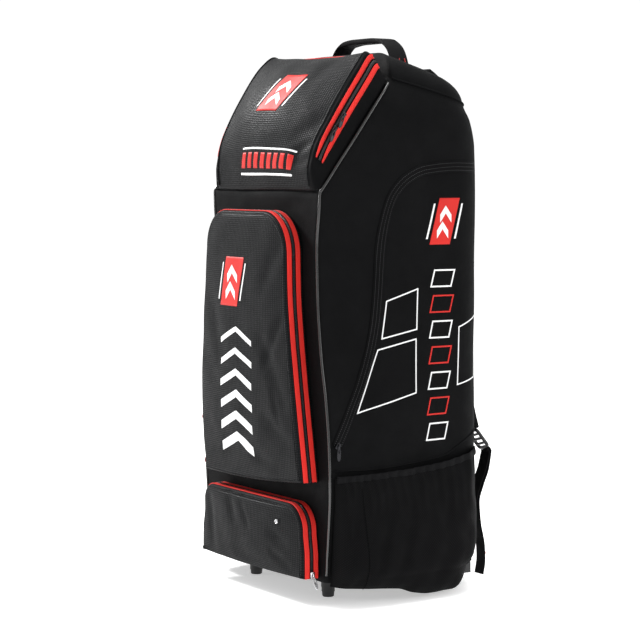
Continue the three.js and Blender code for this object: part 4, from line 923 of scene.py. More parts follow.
def build_teeth(name, middle, side, out, thick):
    """A zip's coil: two rows of small rounded bars, a pitch apart and half a pitch out of step."""
    walk = even_run(np.concatenate([middle, side, out], 1), looks().tooth_pitch / 2)
    at, across, up = walk[:, :3], unit(walk[:, 3:6]), unit(walk[:, 6:9])
    run = unit(np.gradient(at, axis=0))
    shift = np.where(np.arange(len(at)) % 2 == 0, 1.0, -1.0)[:, None] * 0.75 * MM
    shape = round_block((1.6 * MM, 3.2 * MM, thick), 3.0, 4)
    points, faces, uv = copies(shape, at + across * shift, run, across, up)
    return lay_mesh(name, points, faces, uv, FINISHES["teeth"], slot="zip")


def build_zip(bands):
    """The two red tapes and the black zip between them, each with its stitches or its teeth."""
    for node, (middle, side, out, width) in bands.items():
        if node.endswith("zip"):
            build_band(f"{node}_cloth", middle - out * 0.9 * MM, side, out, width, 1.0 * MM,
                       FINISHES["zip"], "zip", (node,))
            build_teeth(f"{node}_teeth", middle - out * 0.7 * MM, side, out, 1.3 * MM)
            continue
        build_band(f"{node}_red", middle, side, out, width, TAPE_THICK, FINISHES["red_tape"], "red_tape",
                   (node,))
        for k, sign in enumerate((1, -1)):
            row = middle + side * (sign * (width[:, None] / 2 - 1.5 * MM))
            stitch_row(f"{node}_stitches_{k + 1}", row, out, FINISHES["red_thread"], "red_tape")


# The lid's bands, each from one share of the gusset's height to another.
LID_SHARES = {"lid_tape_outer": (0.44, 0.6), "lid_zip": (0.62, 0.75), "lid_tape_inner": (0.77, 0.915)}
BAND_LIFT = 0.9 * MM


def build_lid():
    """The lid's coated panel, the welt along its edge, and the zip with its two tapes."""
    grid = lid_surface()
    SURFACES["lid"] = grid
    n = GUSSET_STEPS
    for name, part, cloth in (("panel", grid[:, n - 1:1 - n], "coated_cloth"),
                              ("gusset_right", grid[:, :n], "body_cloth"),
                              ("gusset_left", grid[:, -n:], "body_cloth")):
        lay_grid(f"lid_{name}", part, FINISHES[cloth], inside=(0, 120, 745), thick=LID_WALL,
                 slot="coated_cloth", replaces=("lid_pocket",))
    bands = {}
    for node, (low, high) in LID_SHARES.items():
        thick = COIL_THICK if node == "lid_zip" else TAPE_THICK
        bands[node] = lid_band(low, high, BAND_LIFT, thick)
    build_zip(bands)
    for column, side in ((n, "right"), (grid.shape[1] - n - 1, "left")):
        edge = grid[6:-4, column]
        out = grid_normals(grid)[6:-4, column]
        out *= np.sign(np.einsum("ij,ij->i", out, edge - LID_MIDDLE))[:, None]
        welt = even_run(edge + out * 0.5 * MM, 3 * MM)
        bar = sweep(welt, [0, 0, 1], round_outline(2.6 * MM, 2.6 * MM, 1.2 * MM))
        lay_grid(f"lid_welt_{side}", bar, FINISHES["coated_cloth"], slot="coated_cloth")


# The pockets. Outlines lie in the front wall's plane, as (x, z) points.
def pocket_arms(pocket):
    """A pocket's right and left arms from the bottom up: the sides read from the table, and a quarter round
    where each meets the straight top."""
    z0, z1 = pocket["z"]
    arms = []
    for key, radius, sign in (("right", pocket["radii"][0], 1), ("left", pocket["radii"][1], -1)):
        drop = pocket["drop"] if key == "left" else 0.0
        z = np.linspace(z0 - drop, z1 - radius, 70)
        up = np.clip((z - z0) / (z1 - z0), 0, 1)
        x = read(pocket["sides"], "up", key, up) * BODY_HALF
        turn = np.linspace(0, np.pi / 2, 22)[1:]
        x = np.concatenate([x, x[-1] - radius + radius * np.cos(turn)])
        z = np.concatenate([z, z1 - radius + radius * np.sin(turn)])
        arms.append(np.stack([sign * x, z], -1))
    return arms


def pocket_outline(pocket, grow):
    """The run up a pocket's right side, over its top and down its left side, grown along its normals."""
    right, left = pocket_arms(pocket)
    run = even_run(np.concatenate([right, left[::-1]]), 3.5 * MM)
    step = np.gradient(run, axis=0)
    normal = unit(np.stack([step[:, 1], -step[:, 0]], -1))
    return run + normal * grow, normal


POCKET_FOLDS = {
    "front": [
        ((120, -40, 330), (60, -44, 430), 17, 3.4),
        ((112, -40, 470), (70, -44, 400), 13, 3.0),
        ((126, -38, 270), (70, -44, 300), 16, 3.2),
        ((60, -44, 520), (104, -38, 590), 18, 2.4),
        ((-60, -44, 240), (20, -44, 262), 18, 2.6),
        ((100, -36, 226), (30, -42, 236), 12, 2.6),
        ((-110, -40, 500), (-80, -44, 400), 24, 2.4),
        ((90, -44, 350), (110, -38, 300), 9, 2.0),
    ],
    "lower": [
        ((-60, -34, 160), (-40, -40, 120), 13, 3.2),
        ((-20, -34, 158), (6, -40, 116), 9, 2.4),
        ((120, -36, 98), (80, -40, 112), 12, 3.0),
        ((126, -36, 66), (84, -40, 78), 10, 3.0),
        ((-130, -34, 140), (-118, -38, 70), 14, 3.0),
        ((40, -40, 60), (-30, -40, 66), 16, 1.8),
    ],
}


ARM_STEPS = 120
FACE_STEPS = 76


def pocket_surface(key):
    """A pocket's side wall and its face. The wall's rings run out from the body and turn in at the edge.
    The face is spanned from arm to arm and crowned by (1 - a^2.6) (1 - b^4), a and b its places across and
    up."""
    pocket = POCKETS[key]
    right, left = (even_count(arm, ARM_STEPS) for arm in pocket_arms(pocket))
    share = np.linspace(0, 1, FACE_STEPS)[:, None]
    top = right[-1] * (1 - share) + left[-1] * share
    bottom = left[0] * (1 - share) + right[0] * share
    bottom = bottom - np.concatenate([0 * share, pocket["bow"] * np.sin(np.pi * share)], 1)
    loop = np.concatenate([right, top[1:], left[::-1][1:], bottom[1:]])
    step = unit(np.diff(loop, axis=0))
    step = step[np.linalg.norm(np.diff(loop, axis=0), axis=1) > 0]
    side = np.stack([-step[:, 1], step[:, 0]], -1)
    before, after = np.concatenate([side[-1:], side]), np.concatenate([side, side[:1]])
    inward = (before + after) / (1 + (before * after).sum(1, keepdims=True))
    e = np.linspace(0, len(POCKET_EDGE) - 1, 20)
    out, draw = read(POCKET_EDGE, "row", "out", e), read(POCKET_EDGE, "row", "draw", e) * MM
    flat = loop[None] + inward[None] * draw[:, None, None]
    deep = np.broadcast_to(-GAP - pocket["proud"] * out[:, None], flat.shape[:2])
    wall = np.stack([flat[..., 0], deep, flat[..., 1]], -1)
    n, m = ARM_STEPS, FACE_STEPS
    edge = flat[-1]
    right, top = edge[:n], edge[n - 1:n + m - 1]
    left, bottom = edge[n + m - 2:2 * n + m - 2][::-1], edge[2 * n + m - 3:][::-1]
    a, b = np.linspace(0, 1, m)[None, :, None], np.linspace(0, 1, n)[:, None, None]
    spots = right[:, None] * (1 - a) + left[:, None] * a
    spots = spots + (bottom[None] - spots[:1]) * (1 - b) ** 3 + (top[None] - spots[-1:]) * b**3
    crown = (1 - np.abs(2 * a - 1) ** 2.6) * (1 - np.abs(2 * b - 1) ** 4)
    face = np.stack([spots[..., 0], wall[-1, 0, 1] - POCKET_CROWN * crown[..., 0], spots[..., 1]], -1)
    for part in (wall, face):
        pushed = crease(part, POCKET_FOLDS[key]) + ripple(part, 75, 0.8)
        calm = np.clip((-part[..., 1] - 0.7 * pocket["proud"]) / (0.28 * pocket["proud"]), 0, 1)
        part[..., 1] += pushed * calm
    return wall, face[:, ::-1]


def pocket_face(key, x, z, lift):
    """A point on a pocket's face: the mean of its six nearest points, weighted by 1 over distance
    squared."""
    flat = SURFACES[key].reshape(-1, 3)
    target = np.stack([x.ravel(), z.ravel()], -1)
    far = ((target[:, None] - flat[None, :, ::2]) ** 2).sum(-1)
    near = np.argpartition(far, 6, axis=1)[:, :6]
    weight = 1 / (np.take_along_axis(far, near, 1) + 1e-7)
    y = (flat[near, 1] * weight).sum(1) / weight.sum(1)
    return np.stack([x, y.reshape(x.shape) - lift, z], -1)


def build_pockets():
    """The two raised pockets of coated cloth, each with its zip and a row of stitches round its edge."""
    for key, pocket in POCKETS.items():
        wall, face = pocket_surface(key)
        SURFACES[key] = face
        points, faces, uv = merge([wall, face])
        uv[-face[..., 0].size:] = face[..., ::2].reshape(-1, 2)
        lay_mesh(f"{key}_pocket_panel", points, faces, uv, FINISHES["coated_cloth"],
                 inside=(0, 0, sum(pocket["z"]) / 2 / MM), thick=POCKET_WALL, slot="coated_cloth",
                 replaces=(pocket["node"],))
        depth = pocket["proud"] * POCKET_SIDE_SHARE
        places = {f"{key}_tape_front": depth - TAPE_WIDTH / 2,
                  f"{key}_zip": depth - TAPE_WIDTH - GAP - COIL_WIDTH / 2,
                  f"{key}_tape_back": depth - TAPE_WIDTH * 1.5 - 2 * GAP - COIL_WIDTH}
        bands = {}
        for node, deep in places.items():
            thick = COIL_THICK if node.endswith("zip") else TAPE_THICK
            run, normal = pocket_outline(pocket, GAP + thick)
            middle = np.stack([run[:, 0], np.full(len(run), -deep), run[:, 1]], -1)
            out = np.stack([normal[:, 0], np.zeros(len(run)), normal[:, 1]], -1)
            side = np.broadcast_to([0.0, -1.0, 0.0], middle.shape)
            width = np.full(len(run), COIL_WIDTH if node.endswith("zip") else TAPE_WIDTH)
            bands[node] = (middle, side, out, width)
        build_zip(bands)
        run = wall[18, :2 * ARM_STEPS + FACE_STEPS - 2]
        stitch_row(f"{key}_pocket_stitches", run + [0, -0.3 * MM, 0], np.array([0.0, -1.0, 0.0]),
                   FINISHES["thread"], "coated_cloth")


# The side pouches.
POUCH_FOLDS = [
    ((232, 22, 205), (236, 48, 165), 5, 3.0),
    ((233, 38, 205), (238, 30, 120), 7, 3.6),
    ((236, 62, 208), (246, 50, 150), 7, 4.2),
    ((236, 80, 208), (250, 52, 90), 8, 4.4),
    ((238, 100, 209), (252, 78, 130), 8, 4.6),
    ((238, 122, 210), (252, 70, 60), 9, 4.8),
    ((238, 146, 212), (252, 104, 110), 9, 4.6),
    ((236, 170, 214), (252, 120, 70), 10, 4.2),
    ((236, 200, 216), (250, 176, 140), 12, 3.6),
    ((226, 240, 218), (240, 215, 120), 14, 3.2),
    ((228, 52, 60), (226, 20, 34), 12, 2.4),
]
HOUSING_OUT = 166 * MM
HOUSING_TOP = 84 * MM


def pouch_point(share, q, name, sign):
    """A pouch's surface: share runs along it and q down it by rows of the table. It stands off the side
    panel by its bulge, the product of its two tables, and by its slack mouth, which fades on the way down.
    Low down it also stands clear of the wheel's housing."""
    side = SURFACES[f"side_{name}"]
    down, out = read(POUCH_DOWN, "row", "down", q), read(POUCH_DOWN, "row", "out", q)
    y = POUCH_FRONT + share * POUCH_LENGTH
    top = POUCH_TOP_Z + POUCH_RISE * share**3
    foot = POUCH_BOTTOM_Z + read(POUCH_FOOT, "at", "lift", share) * MM
    z = top - down * (top - foot)
    swell = read(POUCH_LENGTHWISE, "at", "out", share)
    mouth = MOUTH_GAP * np.minimum(1, swell * 1.6) * np.maximum(0, 1 - down * 3)
    lift = GAP + 2 * MM + POUCH_BULGE * out * swell + mouth
    x = side.at(y, np.maximum(z, POUCH_SEAT_Z)) + lift
    x = np.where(z < HOUSING_TOP, np.maximum(x, HOUSING_OUT + 2 * MM), x)
    return np.stack(np.broadcast_arrays(sign * x, y, z), -1)


def build_pouches():
    """The gathered side pouches with their elastic hems, and the seam down each. The gathers are a cosine
    along the mouth that fades on the way down, and all folds fade towards the sewn edges."""
    share = np.linspace(0, 1, 210)[None]
    q = np.linspace(0, len(POUCH_DOWN) - 1, 110)[:, None]
    calm = np.clip(read(POUCH_LENGTHWISE, "at", "out", share) * 1.3, 0, 1)
    calm = calm * np.clip(len(POUCH_DOWN) - 1.6 - q, 0, 1)
    gathers = 1.5 * MM * np.cos(2 * np.pi * 17 * share**0.8) * np.clip(1 - q / 3.2, 0, 1) * calm
    for name, sign in SIDES:
        grid = pouch_point(share, q, name, sign)
        mirrored = grid * [sign, 1, 1]
        pushed = (1.5 * crease(mirrored, POUCH_FOLDS) + ripple(mirrored, 55, 2.4)) * calm
        grid[..., 0] -= sign * (pushed + gathers)
        lay_grid(f"pouch_{name}", grid, FINISHES["pouch_cloth"], inside=(sign * 190, 150, 120),
                 thick=POUCH_WALL, slot="pouch_cloth", replaces=(f"side_pouch_{name}",))
        hem = even_run((grid[1] + [sign * 0.6 * MM, 0, 0])[2:-2], 3 * MM)
        bar = sweep(hem, [sign, 0, 0], round_outline(3.4 * MM, 11 * MM, 1.6 * MM))
        lay_grid(f"pouch_hem_{name}", bar, FINISHES["webbing"], slot="webbing")
        seam = even_run(grid[12:-26, 30] + [sign * 0.5 * MM, 0, 0], 3 * MM)
        bar = sweep(seam, [0, 1, 0], round_outline(2.4 * MM, 1.6 * MM, 0.7 * MM))
        lay_grid(f"pouch_seam_{name}", bar, FINISHES["pouch_cloth"], slot="pouch_cloth")


# The trims of the body.
def build_trims():
    """The glossy welts of the front edges, the storm flaps over the side zips, and the seam above each
    pouch. A flap's height across it is the root of 1 less the cube of its share from the middle."""
    grid = SURFACES["body"]
    rise = grid[FLOOR_ROWS + 20:-CROWN_ROWS - 3, SECTION_STEPS["front"] + 1]
    lean = np.where(rise[:, 2:] > SEAM_Z, SLOPE_RUN, [0.0, 0.0, 1.0])
    outward = unit(np.stack([np.ones(len(rise)), -lean[:, 2], lean[:, 1]], -1))
    welt = even_run(rise + outward * (PIPING_RADIUS + PIPING_LIFT - 0.5 * MM), 4 * MM)
    cord = round_outline(2 * PIPING_RADIUS, 2 * PIPING_RADIUS, PIPING_RADIUS, 5)
    route = smooth_run(np.array(FLAP_ROUTE) * MM, 120)
    above = smooth_run(np.array(POUCH_SEAM_ROUTE) * MM, 90)
    step = unit(np.gradient(route, axis=0))
    lie = np.stack([-step[:, 1], step[:, 0]], -1)
    across = np.linspace(-1, 1, 13)[None, :, None]
    spots = route[:, None] + lie[:, None] * across * FLAP_WIDTH / 2
    bulge = FLAP_THICK * (0.35 + 0.65 * np.sqrt(np.clip(1 - np.abs(across[..., 0]) ** 3, 0, 1)))
    bulge = bulge * (0.92 + 0.08 * np.sin(spots[..., 0] / (11 * MM)))
    for name, sign in SIDES:
        side = SURFACES[f"side_{name}"]
        lay_grid(f"welt_{name}", sweep(welt * [sign, 1, 1], [0, 1, 0], cord), FINISHES["piping"],
                 slot="piping", replaces=(f"piping_{name}",))
        face = side.point(spots[..., 0], spots[..., 1], GAP + bulge)
        foot = side.point(spots[..., 0], spots[..., 1], GAP)[:, ::-1]
        ring = np.concatenate([face, foot, face[:, :1]], 1)
        lay_grid(f"zip_flap_{name}", capped(ring), FINISHES["body_cloth"], slot="zip",
                 replaces=(f"side_zip_{name}",))
        for k, shift in enumerate((-0.62, 0.05, 0.66)):
            line = route + lie * shift * FLAP_WIDTH / 2
            path = side.point(line[:, 0], line[:, 1], GAP + FLAP_THICK * 0.98)
            stitch_row(f"flap_stitches_{k + 1}_{name}", path, np.array([sign, 0.0, 0.0]),
                       FINISHES["thread"], "zip")
        seam = even_run(side.point(above[:, 0], above[:, 1], 0.7 * MM), 4 * MM)
        bar = sweep(seam, [0, 0, 1], round_outline(2.6 * MM, 2.0 * MM, 0.9 * MM))
        lay_grid(f"side_seam_{name}", bar, FINISHES["body_cloth"], slot="body_cloth")


# The prints: plain stripes, bars and chevrons of thin film laid on the cloth.
SIDE_BLOCKS = (((58, 316), (176, 344), (180, 436), (104, 420)),
               ((112, 436), (182, 450), (186, 520), (124, 500)),
               ((262, 352), (312, 362), (318, 470), (266, 452)))
FILM_THICK = 0.22 * MM
FILM_LIFT = 0.35 * MM
UPPER_LIFT = 0.62 * MM


def film(spots, carrier, lift=FILM_LIFT):
    """A thin film: a grid of places on a surface, closed by its own underside."""
    face = carrier(spots[..., 0], spots[..., 1], lift)
    back = carrier(spots[..., 0], spots[..., 1], lift - FILM_THICK)
    return np.concatenate([face, back[:, ::-1], face[:, :1]], 1)


def patch(corners, carrier, n=14, m=8, lift=FILM_LIFT):
    """A four-cornered patch of film: straight lines between its corners, carried onto a surface."""
    a, b, c, d = (np.array(p, float) * MM for p in corners)
    s, t = np.linspace(0, 1, n)[:, None, None], np.linspace(0, 1, m)[None, :, None]
    return capped(film((a * (1 - s) + b * s) * (1 - t) + (d * (1 - s) + c * s) * t, carrier, lift))


def outlined(corners, width, carrier, n=16):
    """A four-cornered outline of film: its inner corners are set in along each corner's half angle."""
    p = np.array(corners, float)
    run = unit(np.roll(p, -1, 0) - p)
    normal = np.stack([-run[:, 1], run[:, 0]], -1)
    normal *= np.sign(((p.mean(0) - p) * normal).sum(1))[:, None]
    before = np.roll(normal, 1, 0)
    inner = p + (normal + before) / (1 + (normal * before).sum(1))[:, None] * width
    share = np.linspace(0, 1, n, endpoint=False)[:, None]

    def walk(q):
        """The outline through four corners, straight from each to the next."""
        ends = np.roll(q, -1, 0)
        return np.concatenate([a * (1 - share) + b * share for a, b in zip(q, ends)] + [q[:1]])

    return film(np.stack([walk(p), walk((p + inner) / 2), walk(inner)], 1) * MM, carrier)


def slanted(x, z, wide, high, lean):
    """The corners of a leaning block, from its lower left corner."""
    return ((x, z), (x + wide, z), (x + wide + lean, z + high), (x + lean, z + high))


def chevron(middle, wide, high, thick):
    """The corners of a chevron's two arms, its point up."""
    x, z = middle
    return [((end, z - high), (x, z), (x, z - thick), (end, z - high - thick))
            for end in (x - wide / 2, x + wide / 2)]


def on_lid(x, s, lift):
    """A point of the lid's top: the mean of its five nearest points, weighted by 1 over distance
    squared."""
    grid = SURFACES["lid"][8:-6, GUSSET_STEPS + 1:-GUSSET_STEPS - 1].reshape(-1, 3)
    along, height = over_slope(grid)
    own = np.stack([grid[:, 0], along], -1)
    far = ((np.stack([x.ravel(), s.ravel()], -1)[:, None] - own[None]) ** 2).sum(-1)
    near = np.argpartition(far, 5, axis=1)[:, :5]
    weight = 1 / (np.take_along_axis(far, near, 1) + 1e-7)
    h = (height[near] * weight).sum(1) / weight.sum(1)
    return on_slope(x, s, h.reshape(x.shape) + lift)


def build_prints():
    """Generic motifs: a leaning block with chevrons on the lid, the front pocket and the sides, a row of
    bars on the lid, a column of chevrons on the pocket, and outlined blocks up the sides."""
    def lay(name, parts, tone, slot):
        """Lays patches of film as one print."""
        lay_parts(name, parts, FINISHES[tone], slot=slot)

    def on_front(x, z, lift):
        """A point on the front pocket's face."""
        return pocket_face("front", x, z, lift)

    def badge(prefix, x, z, wide, high, lean, carrier, slot):
        """A leaning red block with two light chevrons on it, between two light strokes."""
        block = patch(slanted(x, z, wide, high, lean), carrier, 30, 20)
        lay(f"{prefix}_block_red", [block], "red_print", slot)
        middle = x + (wide + lean) / 2
        marks = []
        for k in (0, 1):
            point = (middle + lean * (0.1 - 0.32 * k), z + high * (0.84 - 0.34 * k))
            arms = chevron(point, wide * 0.56, high * 0.2, high * 0.17)
            marks.extend(patch(c, carrier, 12, 6, UPPER_LIFT) for c in arms)
        low, tall = z + high * 0.12, high * 0.76
        for shift in (-9.5, wide + 6):
            stroke = slanted(x + shift + lean * 0.12, low, 3.4, tall, lean * 0.76)
            marks.append(patch(stroke, carrier, 4, 24))
        lay(f"{prefix}_marks_light", marks, "light_print", slot)

    badge("lid", -42, 116, 62, 78, 26, on_lid, "coated_cloth")
    row = [patch(slanted(-58 + 20 * k, 26, 12, 20, 8), on_lid, 8, 8) for k in range(8)]
    lay("lid_row_red", row, "red_print", "coated_cloth")
    row = [patch(slanted(x, s, 160, 2.6, 1), on_lid, 50, 3) for x, s in ((-64, 18), (-52, 50.5))]
    lay("lid_row_light", row, "light_print", "coated_cloth")
    badge("front", -74, 486, 58, 84, 22, on_front, "coated_cloth")
    light = []
    for k in range(6):
        arms = chevron((-22, 452 - 36 * k), 104, 22, 9 + 1.4 * k)
        light.extend(patch(c, on_front, 20, 8) for c in arms)
    lay("front_chevrons_light", light, "light_print", "coated_cloth")
    for name, sign in SIDES:
        carrier = SURFACES[f"side_{name}"].point
        badge(f"side_{name}", 208, 592, 40, 78, 20, carrier, "body_cloth")
        light, red = [], []
        for k in range(7):
            block = slanted(194 + 2.6 * k, 262 + 43 * k, 42, 30, 8)
            (red if k % 2 else light).append(outlined(block, 2.6, carrier))
        light.extend(outlined(block, 2.2, carrier) for block in SIDE_BLOCKS)
        lay(f"side_blocks_light_{name}", light, "light_print", "body_cloth")
        lay(f"side_blocks_red_{name}", red, "red_print", "body_cloth")


# The handle and the straps.
def build_handle():
    """The grab handle: an arch of webbing through the points of its route. Its grip is thicker and a little
    narrower, by a logistic step of the distance from the middle. Red bar tacks hold its feet."""
    span = HANDLE_HIGH.z - 4.5 * MM - TOP_Z
    half = [(HANDLE_HALF * out, HANDLE_Y, TOP_Z + span * up) for out, up in HANDLE_ROUTE]
    path = smooth_run(half + [(-x, y, z) for x, y, z in reversed(half)], 140)
    share = np.linspace(0, 1, len(path))
    grip = 1 / (1 + np.exp(-(0.22 - np.abs(share - 0.5)) / 0.008))
    scale = np.stack([1 - 0.12 * grip, 1 + 1.3 * grip], 1)
    strip = sweep(path, [0, 1, 0], round_outline(HANDLE_WIDTH, 3.8 * MM, 1.7 * MM), scale=scale)
    lay_grid("grab_handle", strip, FINISHES["webbing"], slot="webbing", replaces=("handle",))
    for side, sign in SIDES:
        foot = path[12:19] * [sign, 1, 1]
        out = unit(np.cross(np.gradient(foot, axis=0), [0, 1, 0]))
        out *= np.sign(out[:, :1] * sign)
        for k, shift in enumerate((-11, 0, 11)):
            row = foot + [0, shift * MM, 0] + out * 2.2 * MM
            stitch_row(f"handle_bartack_{k + 1}_{side}", row, out, FINISHES["red_thread"], "red_tape",
                       3.3 * MM, 0.7 * MM)


def strap_frame(sign):
    """A strap's path, the direction its buckle hangs in, and the buckle's middle, as the solids have
    them."""
    top, low = STRAP_X
    high = TOP_Z - BACK_DROP
    drop = high - STRAP_BOTTOM_Z
    points = [(sign * (top + (low - top) * out), BODY_DEPTH + back * STRAP_STANDOFF, high + up * drop)
              for back, up, out in STRAP_ROUTE]
    path = smooth_run(points, 120)
    run = unit(path[-1] - path[-8])
    hang = unit(run + np.array([0, BUCKLE_TILT, 0]))
    return path, hang, path[-1] + hang * BUCKLE_HEIGHT / 2


def build_straps():
    """The padded shoulder straps with bound edges and quilting rows, their buckles, webbing and loose
    tails. A pad narrows in a straight line near its end, and thins at both ends by the root of a sine."""
    outline = round_outline(STRAP_WIDTH, STRAP_THICK, 4.6 * MM, 5)
    ribbon = round_outline(WEBBING_WIDTH, WEBBING_THICK, 0.7 * MM)
    for name, sign in SIDES:
        path, hang, middle = strap_frame(sign)
        share = np.linspace(0, 1, len(path))
        narrow = np.minimum(1, 1 - (share - 0.75) * 1.6)
        thin = 0.82 + 0.18 * np.sin(np.pi * np.clip(share * 1.04, 0, 1)) ** 0.5
        pad = sweep(path, [1, 0, 0], outline, scale=np.stack([narrow, thin], 1))
        made = lay_grid(f"strap_pad_{name}", pad, FINISHES["strap_padding"], slot="strap_padding",
                        replaces=(f"shoulder_strap_{name}",))
        across, up = frames(path, [1, 0, 0])[1:]
        if up[60, 1] < 0:
            up, across = -up, -across
        top = up * (STRAP_THICK / 2 * thin)[:, None]
        for k, shift in enumerate((-0.42, 0.42)):
            row = path + across * (shift * STRAP_WIDTH * narrow)[:, None] + top
            stitch_row(f"strap_stitches_{k + 1}_{name}", row[8:], up[8:], FINISHES["thread"],
                       "strap_padding")
        centre = path[10:] + top[10:] + up[10:] * 0.9 * MM
        lay_grid(f"strap_ribbon_{name}", sweep(centre, [1, 0, 0], ribbon), FINISHES["webbing"],
                 slot="webbing")
        side = unit(np.cross(np.cross(hang, [1.0, 0, 0]), hang))
        out = unit(np.array([0, -hang[2], hang[1]]))
        frame_loop = round_outline(BUCKLE_WIDTH - 5 * MM, BUCKLE_HEIGHT - 5 * MM, 5 * MM, 5)
        loop = middle + frame_loop[:, :1] * side + frame_loop[:, 1:] * hang
        loop = np.concatenate([loop, loop[:1]])
        bars = [sweep(loop, out, round_outline(BUCKLE_THICK * 0.7, 5 * MM, 1.6 * MM))]
        for shift, thick in ((-9, 5), (0, 7), (9.5, 5)):
            spots = middle + hang * shift * MM + side * np.linspace(-14, 14, 9)[:, None] * MM
            bars.append(sweep(spots, hang, round_outline(4.2 * MM, thick * MM, 1.6 * MM)))
        lay_parts(f"strap_buckle_{name}", bars, FINISHES["plastic"], slot="plastic",
                  replaces=(f"buckle_{name}",), sharp=40)
        for piece, table, apart in (("webbing", WEBBING_ROUTE, -2.2), ("tail", TAIL_ROUTE, 2.2)):
            first = middle + hang * (BUCKLE_HEIGHT / 2 + GAP) + out * apart * MM
            lead = first + hang * 5 * MM
            rest = [(lead[0], BODY_DEPTH + back * MM, STRAP_BOTTOM_Z - down * MM) for back, down in table]
            course = np.concatenate([[first], smooth_run(np.array([lead, *rest]), 60)])
            strip = sweep(even_run(course, 3 * MM), [1, 0, 0], ribbon)
            lay_grid(f"{piece}_{name}", strip, FINISHES["webbing"], slot="webbing",
                     replaces=(f"strap_{piece}_{name}",))
        end = np.array([lead[0], BODY_DEPTH + 27.5 * MM, STRAP_BOTTOM_Z - 216 * MM])
        width = end + np.linspace(-11, 11, 12)[:, None] * np.array([MM, 0, 0])
        for k, shift in enumerate((-1.6, 0.0, 1.6)):
            row = width + [0, 0, shift * MM]
            stitch_row(f"tail_bartack_{k + 1}_{name}", row, np.array([0.0, 1.0, 0.0]),
                       FINISHES["red_thread"], "red_tape", 3.2 * MM, 0.7 * MM)


# The running gear.
def turned(profile, centre, steps=40):
    """A turned form round an axis along X: a profile of (x, radius) points carried round its centre."""
    a = np.linspace(0, 2 * np.pi, steps)[:, None]
    x, r = (np.array(profile) * MM).T[:, None]
    return np.stack([centre[0] + x + 0 * a, centre[1] + r * np.cos(a), centre[2] + r * np.sin(a)], -1)


# Profiles and sections, in millimetres from the axle.
WHEEL_PROFILE = ((-12, 4.6), (-12, 11.5), (-9.4, 13), (-8, 16), (-8, 23), (-9.6, 25), (-12, 27),
                 (-12, 32.6), (-11, 34.2), (-9, 35), (-3, 35), (-2.4, 34.2), (2.4, 34.2), (3, 35), (9, 35),
                 (11, 34.2), (12, 32.6), (12, 27), (9.6, 25), (8, 23), (8, 16), (9.4, 13), (12, 11.5),
                 (12, 4.6), (-12, 4.6))
AXLE_PROFILE = ((-18.4, 0.01), (-18.4, 3.9), (18.4, 3.9), (18.4, 0.01))
CAP_PROFILE = ((18.6, 0.01), (18.6, 7.4), (19.2, 8.0), (20.4, 7.4), (21.2, 4.2), (21.4, 0.01))
HOUSING_SECTION = ((-18.5, 4.4), (-18.5, 42.4), (-17.3, 43.5), (17.3, 43.5), (18.5, 42.4), (18.5, 4.4),
                   (14.5, 4.4), (14.5, 39.5), (-14.5, 39.5), (-14.5, 4.4), (-18.5, 4.4))
HOUSING_LOW = 19.3 * MM
SPOKES = 6
TREAD_RADIUS = 34.75 * MM


def build_wheels():
    """The wheels with their spokes and treads, the moulded housings, the axles, their caps and the feet."""
    for name, sign in SIDES:
        centre = box_of(f"wheel_{name}")[2]
        parts = [turned(WHEEL_PROFILE, centre, 64)]
        for k in range(SPOKES):
            a = 2 * np.pi * k / SPOKES
            direction = np.array([0, np.cos(a), np.sin(a)])
            spots = centre + direction * np.linspace(9, 26, 6)[:, None] * MM
            parts.append(sweep(spots, [1, 0, 0], round_outline(20.5 * MM, 3.4 * MM, 1.2 * MM)))
        lay_parts(f"wheel_disc_{name}", parts, FINISHES["tread"], body=f"wheel_{name}", slot="tread",
                  replaces=(f"wheel_{name}",), sharp=45)
        turn = np.tile(np.arange(looks().tread_ribs) * 2 * np.pi / looks().tread_ribs, 2)
        shift = np.repeat([-6.0, 6.0], looks().tread_ribs)[:, None] * MM
        outward = np.stack([0 * turn, np.cos(turn), np.sin(turn)], -1)
        run = np.stack([0 * turn, -np.sin(turn), np.cos(turn)], -1)
        across = np.broadcast_to([1.0, 0, 0], outward.shape)
        rib = round_block((2.2 * MM, 6.4 * MM, 0.5 * MM), 5.0, 6)
        ribs = copies(rib, centre + outward * TREAD_RADIUS + across * shift, run, across, outward)
        lay_mesh(f"wheel_tread_{name}", *ribs, FINISHES["tread"], body=f"wheel_{name}", slot="tread",
                 sharp=40)
        build_housing(name, sign, centre)
        lay_grid(f"axle_pin_{name}", turned(AXLE_PROFILE, centre), FINISHES["metal"], slot="metal",
                 replaces=(f"axle_{name}",), sharp=40)
        cap = [(sign * x, r) for x, r in CAP_PROFILE]
        lay_grid(f"axle_cap_{name}", turned(cap, centre), FINISHES["plastic"], slot="plastic", sharp=50)
        build_foot(name)


